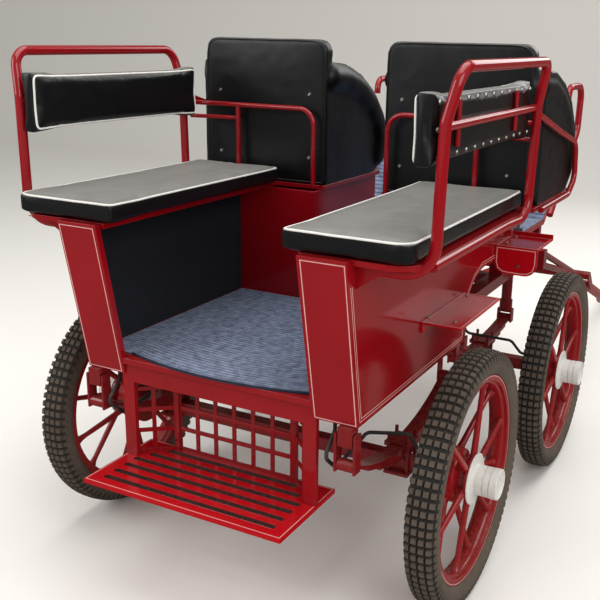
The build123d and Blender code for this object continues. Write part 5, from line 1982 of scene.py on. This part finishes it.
@dataclass(frozen=True)
class Upholstery(SubAssembly):
    """Bench cushions, back pads and driver's seats in black leathercloth with white piping."""

    piping: float = 0.0058
    # Box of a bench cushion's cover, and outline and height of the edge that is piped
    cushion_box: tuple[Point, Point] = ((0.2445, -0.0785, 1.0145), (0.5630, 0.7275, 1.0735))
    cushion_low: Flat = (0.246, -0.076)
    cushion_high: Flat = (0.560, 0.726)
    cushion_corners: Four = (0.012, 0.028, 0.012, 0.012)
    cushion_top: float = 1.0683
    # Box of a back pad's cover, and the plain pad
    pad_box: tuple[Point, Point] = ((0.5240, -0.0275, 1.2200), (0.5808, 0.6825, 1.3745))
    pad_x: Flat = (0.5284, 0.5804)
    pad_y: Flat = (-0.024, 0.680)
    pad_z: Flat = (1.223, 1.372)
    pad_edge: float = 0.004
    pad_corner: float = 0.012
    tack_inset: Flat = (0.022, 0.018)
    tack_pitch: float = 0.060
    tack_size: Flat = (0.0062, 0.0032)
    roll_radius: float = 0.047
    roll_x: Flat = (0.126, 0.546)
    roll: tuple[Point, ...] = (
        # Y, Z and bend radius of the middle of a wing's roll
        (0.826, 1.354, 0.0), (0.905, 1.349, 0.12), (1.010, 1.316, 0.12), (1.104, 1.260, 0.10),
        (1.168, 1.194, 0.08), (1.188, 1.126, 0.06), (1.176, 1.072, 0.0),
    )
    shell_low: Point = (0.103, 0.0, 1.014)
    shell_high: Point = (0.558, 0.0, 1.468)
    shell_voxel: float = 0.0065
    shell_crown: float = 0.006
    # Scale and height of the cover's two sizes of fold
    shell_folds: tuple[Flat, ...] = ((11.0, 0.0012), (30.0, 0.0004))
    welt_low: Flat = (0.107, 1.02)
    welt_high: Flat = (0.554, 1.464)
    welt_corners: Four = (0.004, 0.004, 0.038, 0.038)
    welt_y: Flat = (0.775, 0.820)
    welt: float = 0.0055
    screw_x: Flat = (0.160, 0.500)
    screw_z: Flat = (1.300, 1.100)
    screw_size: Flat = (0.006, 0.004)

    def piping_on(
        self, name: str, skin: Mesh, wanted: list[Vector], finish: Finish, diameter: float,
        out: float = 0.0008,
    ) -> Mesh:
        """Lay a closed welt on a swollen cover.

        Args:
            name: Name of the welt.
            skin: Swollen cover.
            wanted: Loop on the plain piece's edge.
            finish: Finish of the welt.
            diameter: Its diameter.
            out: How far its middle stands outside the cover.

        Returns:
            The welt's mesh.
        """
        tree = surface_tree(skin)
        laid = []
        for point in wanted:
            spot, normal, _, _ = tree.find_nearest(point)
            away = (point - spot).normalized() if (point - spot).length > 1e-5 else normal
            laid.append(spot + away * out)
        for _ in range(3):
            laid = [(laid[k - 1] + laid[k] * 2 + laid[(k + 1) % len(laid)]) / 4 for k in range(len(laid))]
        return self.makers.tube(name, laid, [], diameter, self.finish(finish), 8, True)

    def both(
        self, name: str, mesh: Mesh, finish: Finish | None, slot: str, node: str | None = None,
        fill: float | None = None,
    ) -> None:
        """Mount a right-hand piece and its mirror image.

        Args:
            name: Name without the side.
            mesh: Mesh of the right-hand piece.
            finish: Its finish, or None where the mesh has one.
            slot: Material slot of the record.
            node: CAD node it stands for, without the side.
            fill: How full a padded piece is; not used.
        """
        copies = {"right": mesh, "left": mirrored(mesh)}
        for side_name, _ in SIDES:
            nodes = (f"{node}_{side_name}",) if node else ()
            piece = self.dresser.mount(f"{name}_{side_name}", copies[side_name], finish, ROOT, slot, nodes)

    def bench_cushions(self) -> None:
        """Cover the long bench cushions and pipe their upper edge."""
        skin = Puff(voxel=0.0068, travel=0.010).swell(drawn_mesh("bench_cushion_right"))
        fitted(skin, *self.cushion_box)
        outline = rounded_outline(self.cushion_low, self.cushion_high, self.cushion_corners)
        edge = [Vector((x, y, self.cushion_top)) for x, y in outline]
        welt = self.piping_on("welt", skin, edge, Finish.PIPING, self.piping)
        self.both("bench_cushion_cover", skin, Finish.VINYL, "vinyl", "bench_cushion", 0.6)
        self.both("bench_cushion_piping", welt, None, "vinyl")

    def tacks(self) -> list[tuple[Point, Point]]:
        """List the tacks round a back pad's outer face.

        Returns:
            Place of each tack, just outside the pad, and the way it faces.
        """
        x = self.pad_x[1] + 0.004
        (rear, front), (low, high) = self.pad_y, self.pad_z
        in_y, in_z = self.tack_inset
        places = []
        for number in range(12):
            y = rear + in_y + number * self.tack_pitch
            places += [(x, y, low + in_z), (x, y, high - in_z)]
        places += [(x, y, (low + high) / 2) for y in (rear + in_y, front - in_y)]
        return [(place, (1, 0, 0)) for place in places]

    def back_pads(self) -> None:
        """Cover the long back pads, pipe their inner face and set the tacks of their outer one."""
        skin = Puff(voxel=0.005, travel=0.008).swell(drawn_mesh("back_pad_right"))
        fitted(skin, *self.pad_box)
        low = (self.pad_y[0] + self.pad_edge, self.pad_z[0] + self.pad_edge)
        high = (self.pad_y[1] - self.pad_edge, self.pad_z[1] - self.pad_edge)
        outline = rounded_outline(low, high, (self.pad_corner,) * 4, 0.010)
        edge = [Vector((self.pad_x[0], y, z)) for y, z in outline]
        welt = self.piping_on("welt", skin, edge, Finish.PIPING, self.piping)
        zinc = self.finish(Finish.ZINC)
        heads = self.makers.heads("tacks", self.on_skin(skin, self.tacks()), *self.tack_size, zinc)
        self.both("back_pad_cover", skin, Finish.VINYL, "vinyl", "back_pad", 0.6)
        self.both("back_pad_piping", welt, None, "vinyl")
        self.both("back_pad_tacks", heads, None, "painted_steel")

    def on_skin(self, skin: Mesh, spots: list[tuple[Point, Point]]) -> list[tuple[Point, Point]]:
        """Drop the places of tacks or screws onto a swollen cover.

        Args:
            skin: Swollen cover.
            spots: Places with the way each head faces.

        Returns:
            The places moved onto the cover.
        """
        tree = surface_tree(skin)
        found = []
        for place, way in spots:
            spot = tree.ray_cast(Vector(place) + Vector(way) * 0.02, -Vector(way))[0]
            found.append((tuple(spot if spot else Vector(place)), way))
        return found

    def wing_rolls(self) -> list[Mesh]:
        """Roll the fat edges of a seat's two wings, with round ends.

        Returns:
            Tubes and balls that overlap.
        """
        vinyl, radius = self.finish(Finish.SEAT_VINYL), self.roll_radius
        angles = [math.pi * k / 12 for k in range(13)]
        parts = []
        for x in self.roll_x:
            route = [(x, y, z) for y, z, _ in self.roll]
            bends = [bend for *_, bend in self.roll[1:-1]]
            parts.append(self.makers.tube("roll", route, bends, 2 * radius, vinyl, 28))
            for y, z, _ in (self.roll[0], self.roll[-1]):
                ball = lathe("ball", [(radius * math.cos(a), radius * math.sin(a)) for a in angles], 24)
                parts.append(placed(ball, Matrix.Translation((x, y, z))))
        return parts

    def padded_shell(self) -> Mesh:
        """Skin the seat's shell and the fat rolls on its wings in one cover, crowned between its edges.

        Returns:
            The right-hand cover.
        """
        carrier = new_object("shell", joined("shell", [drawn_mesh("seat_shell_right"), *self.wing_rolls()]))
        remesh = carrier.modifiers.new("skin", "REMESH")
        remesh.mode = "VOXEL"
        remesh.voxel_size = self.shell_voxel
        easing = carrier.modifiers.new("easing", "SMOOTH")
        easing.factor = 0.5
        easing.iterations = 4
        skin = evaluated(carrier)
        bpy.data.objects.remove(carrier)
        low, high = Vector(self.shell_low), Vector(self.shell_high)
        moved = []
        for vertex in skin.vertices:
            spot = vertex.co.copy()
            u = (spot.x - low.x) / (high.x - low.x) * 2 - 1
            v = (spot.z - low.z) / (high.z - low.z) * 2 - 1
            crown = max(0.0, 1 - u ** 4) * max(0.0, 1 - v ** 4)
            # Only the back's rear and front faces swell, and the wings stay as they are
            if abs(vertex.normal.y) > 0.7 and spot.y < 0.84:
                spot += vertex.normal * self.shell_crown * crown
            folds = sum(noise(vertex.co * scale) * height for scale, height in self.shell_folds)
            moved.append(spot + vertex.normal * folds)
        set_points(skin, moved)
        skin.shade_smooth()
        return skin

    def seats(self) -> None:
        """Cover the driver's seats: a shell with two rolled wings, its welts, its screws and a cushion."""
        skin = self.padded_shell()
        back = rounded_outline(self.welt_low, self.welt_high, self.welt_corners, 0.014)
        rear_y, front_y = self.welt_y
        # The front welt runs over the top and between the wings
        front = [Vector((x, front_y, z)) for x, z in back if z > 1.40 or 0.15 < x < 0.53]
        paths = [[Vector((x, rear_y, z)) for x, z in back], front]
        seams = [self.piping_on("seam", skin, path, Finish.SEAT_VINYL, self.welt, 0.0004) for path in paths]
        spots = [((x, rear_y, z), (0, -1, 0)) for z in self.screw_z for x in self.screw_x]
        zinc = self.finish(Finish.ZINC)
        heads = self.makers.heads("seat_screws", self.on_skin(skin, spots), *self.screw_size, zinc)
        self.both("seat_shell_cover", skin, Finish.SEAT_VINYL, "vinyl", "seat_shell", 0.6)
        self.both("seat_shell_welts", joined("seams", seams), None, "vinyl")
        self.both("seat_back_screws", heads, None, "painted_steel")
        cushion = Puff(voxel=0.007, shrink=0.003, travel=0.012).swell(drawn_mesh("seat_cushion_right"))
        self.both("seat_cushion_cover", cushion, Finish.SEAT_VINYL, "vinyl", "seat_cushion", 0.6)

    def build(self) -> None:
        """Make all the upholstery."""
        self.bench_cushions()
        self.back_pads()
        self.seats()


def main() -> None:
    """Build the studio and every piece of the carriage."""
    logging.basicConfig(level=logging.INFO, format="%(name)s %(message)s")
    bpy.context.scene.view_settings.view_transform = "Standard"
    shop = FinishShop()
    dresser = Dresser(shop, Makers())
    Studio().build()
    Wheels(dresser).build()
    TubeWork(dresser).build()
    Bodywork(dresser).build()
    Floors(dresser).build()
    LiningWork(dresser).build()
    Bolts(dresser).build()
    Upholstery(dresser).build()


if __name__ == "__main__":
    main()
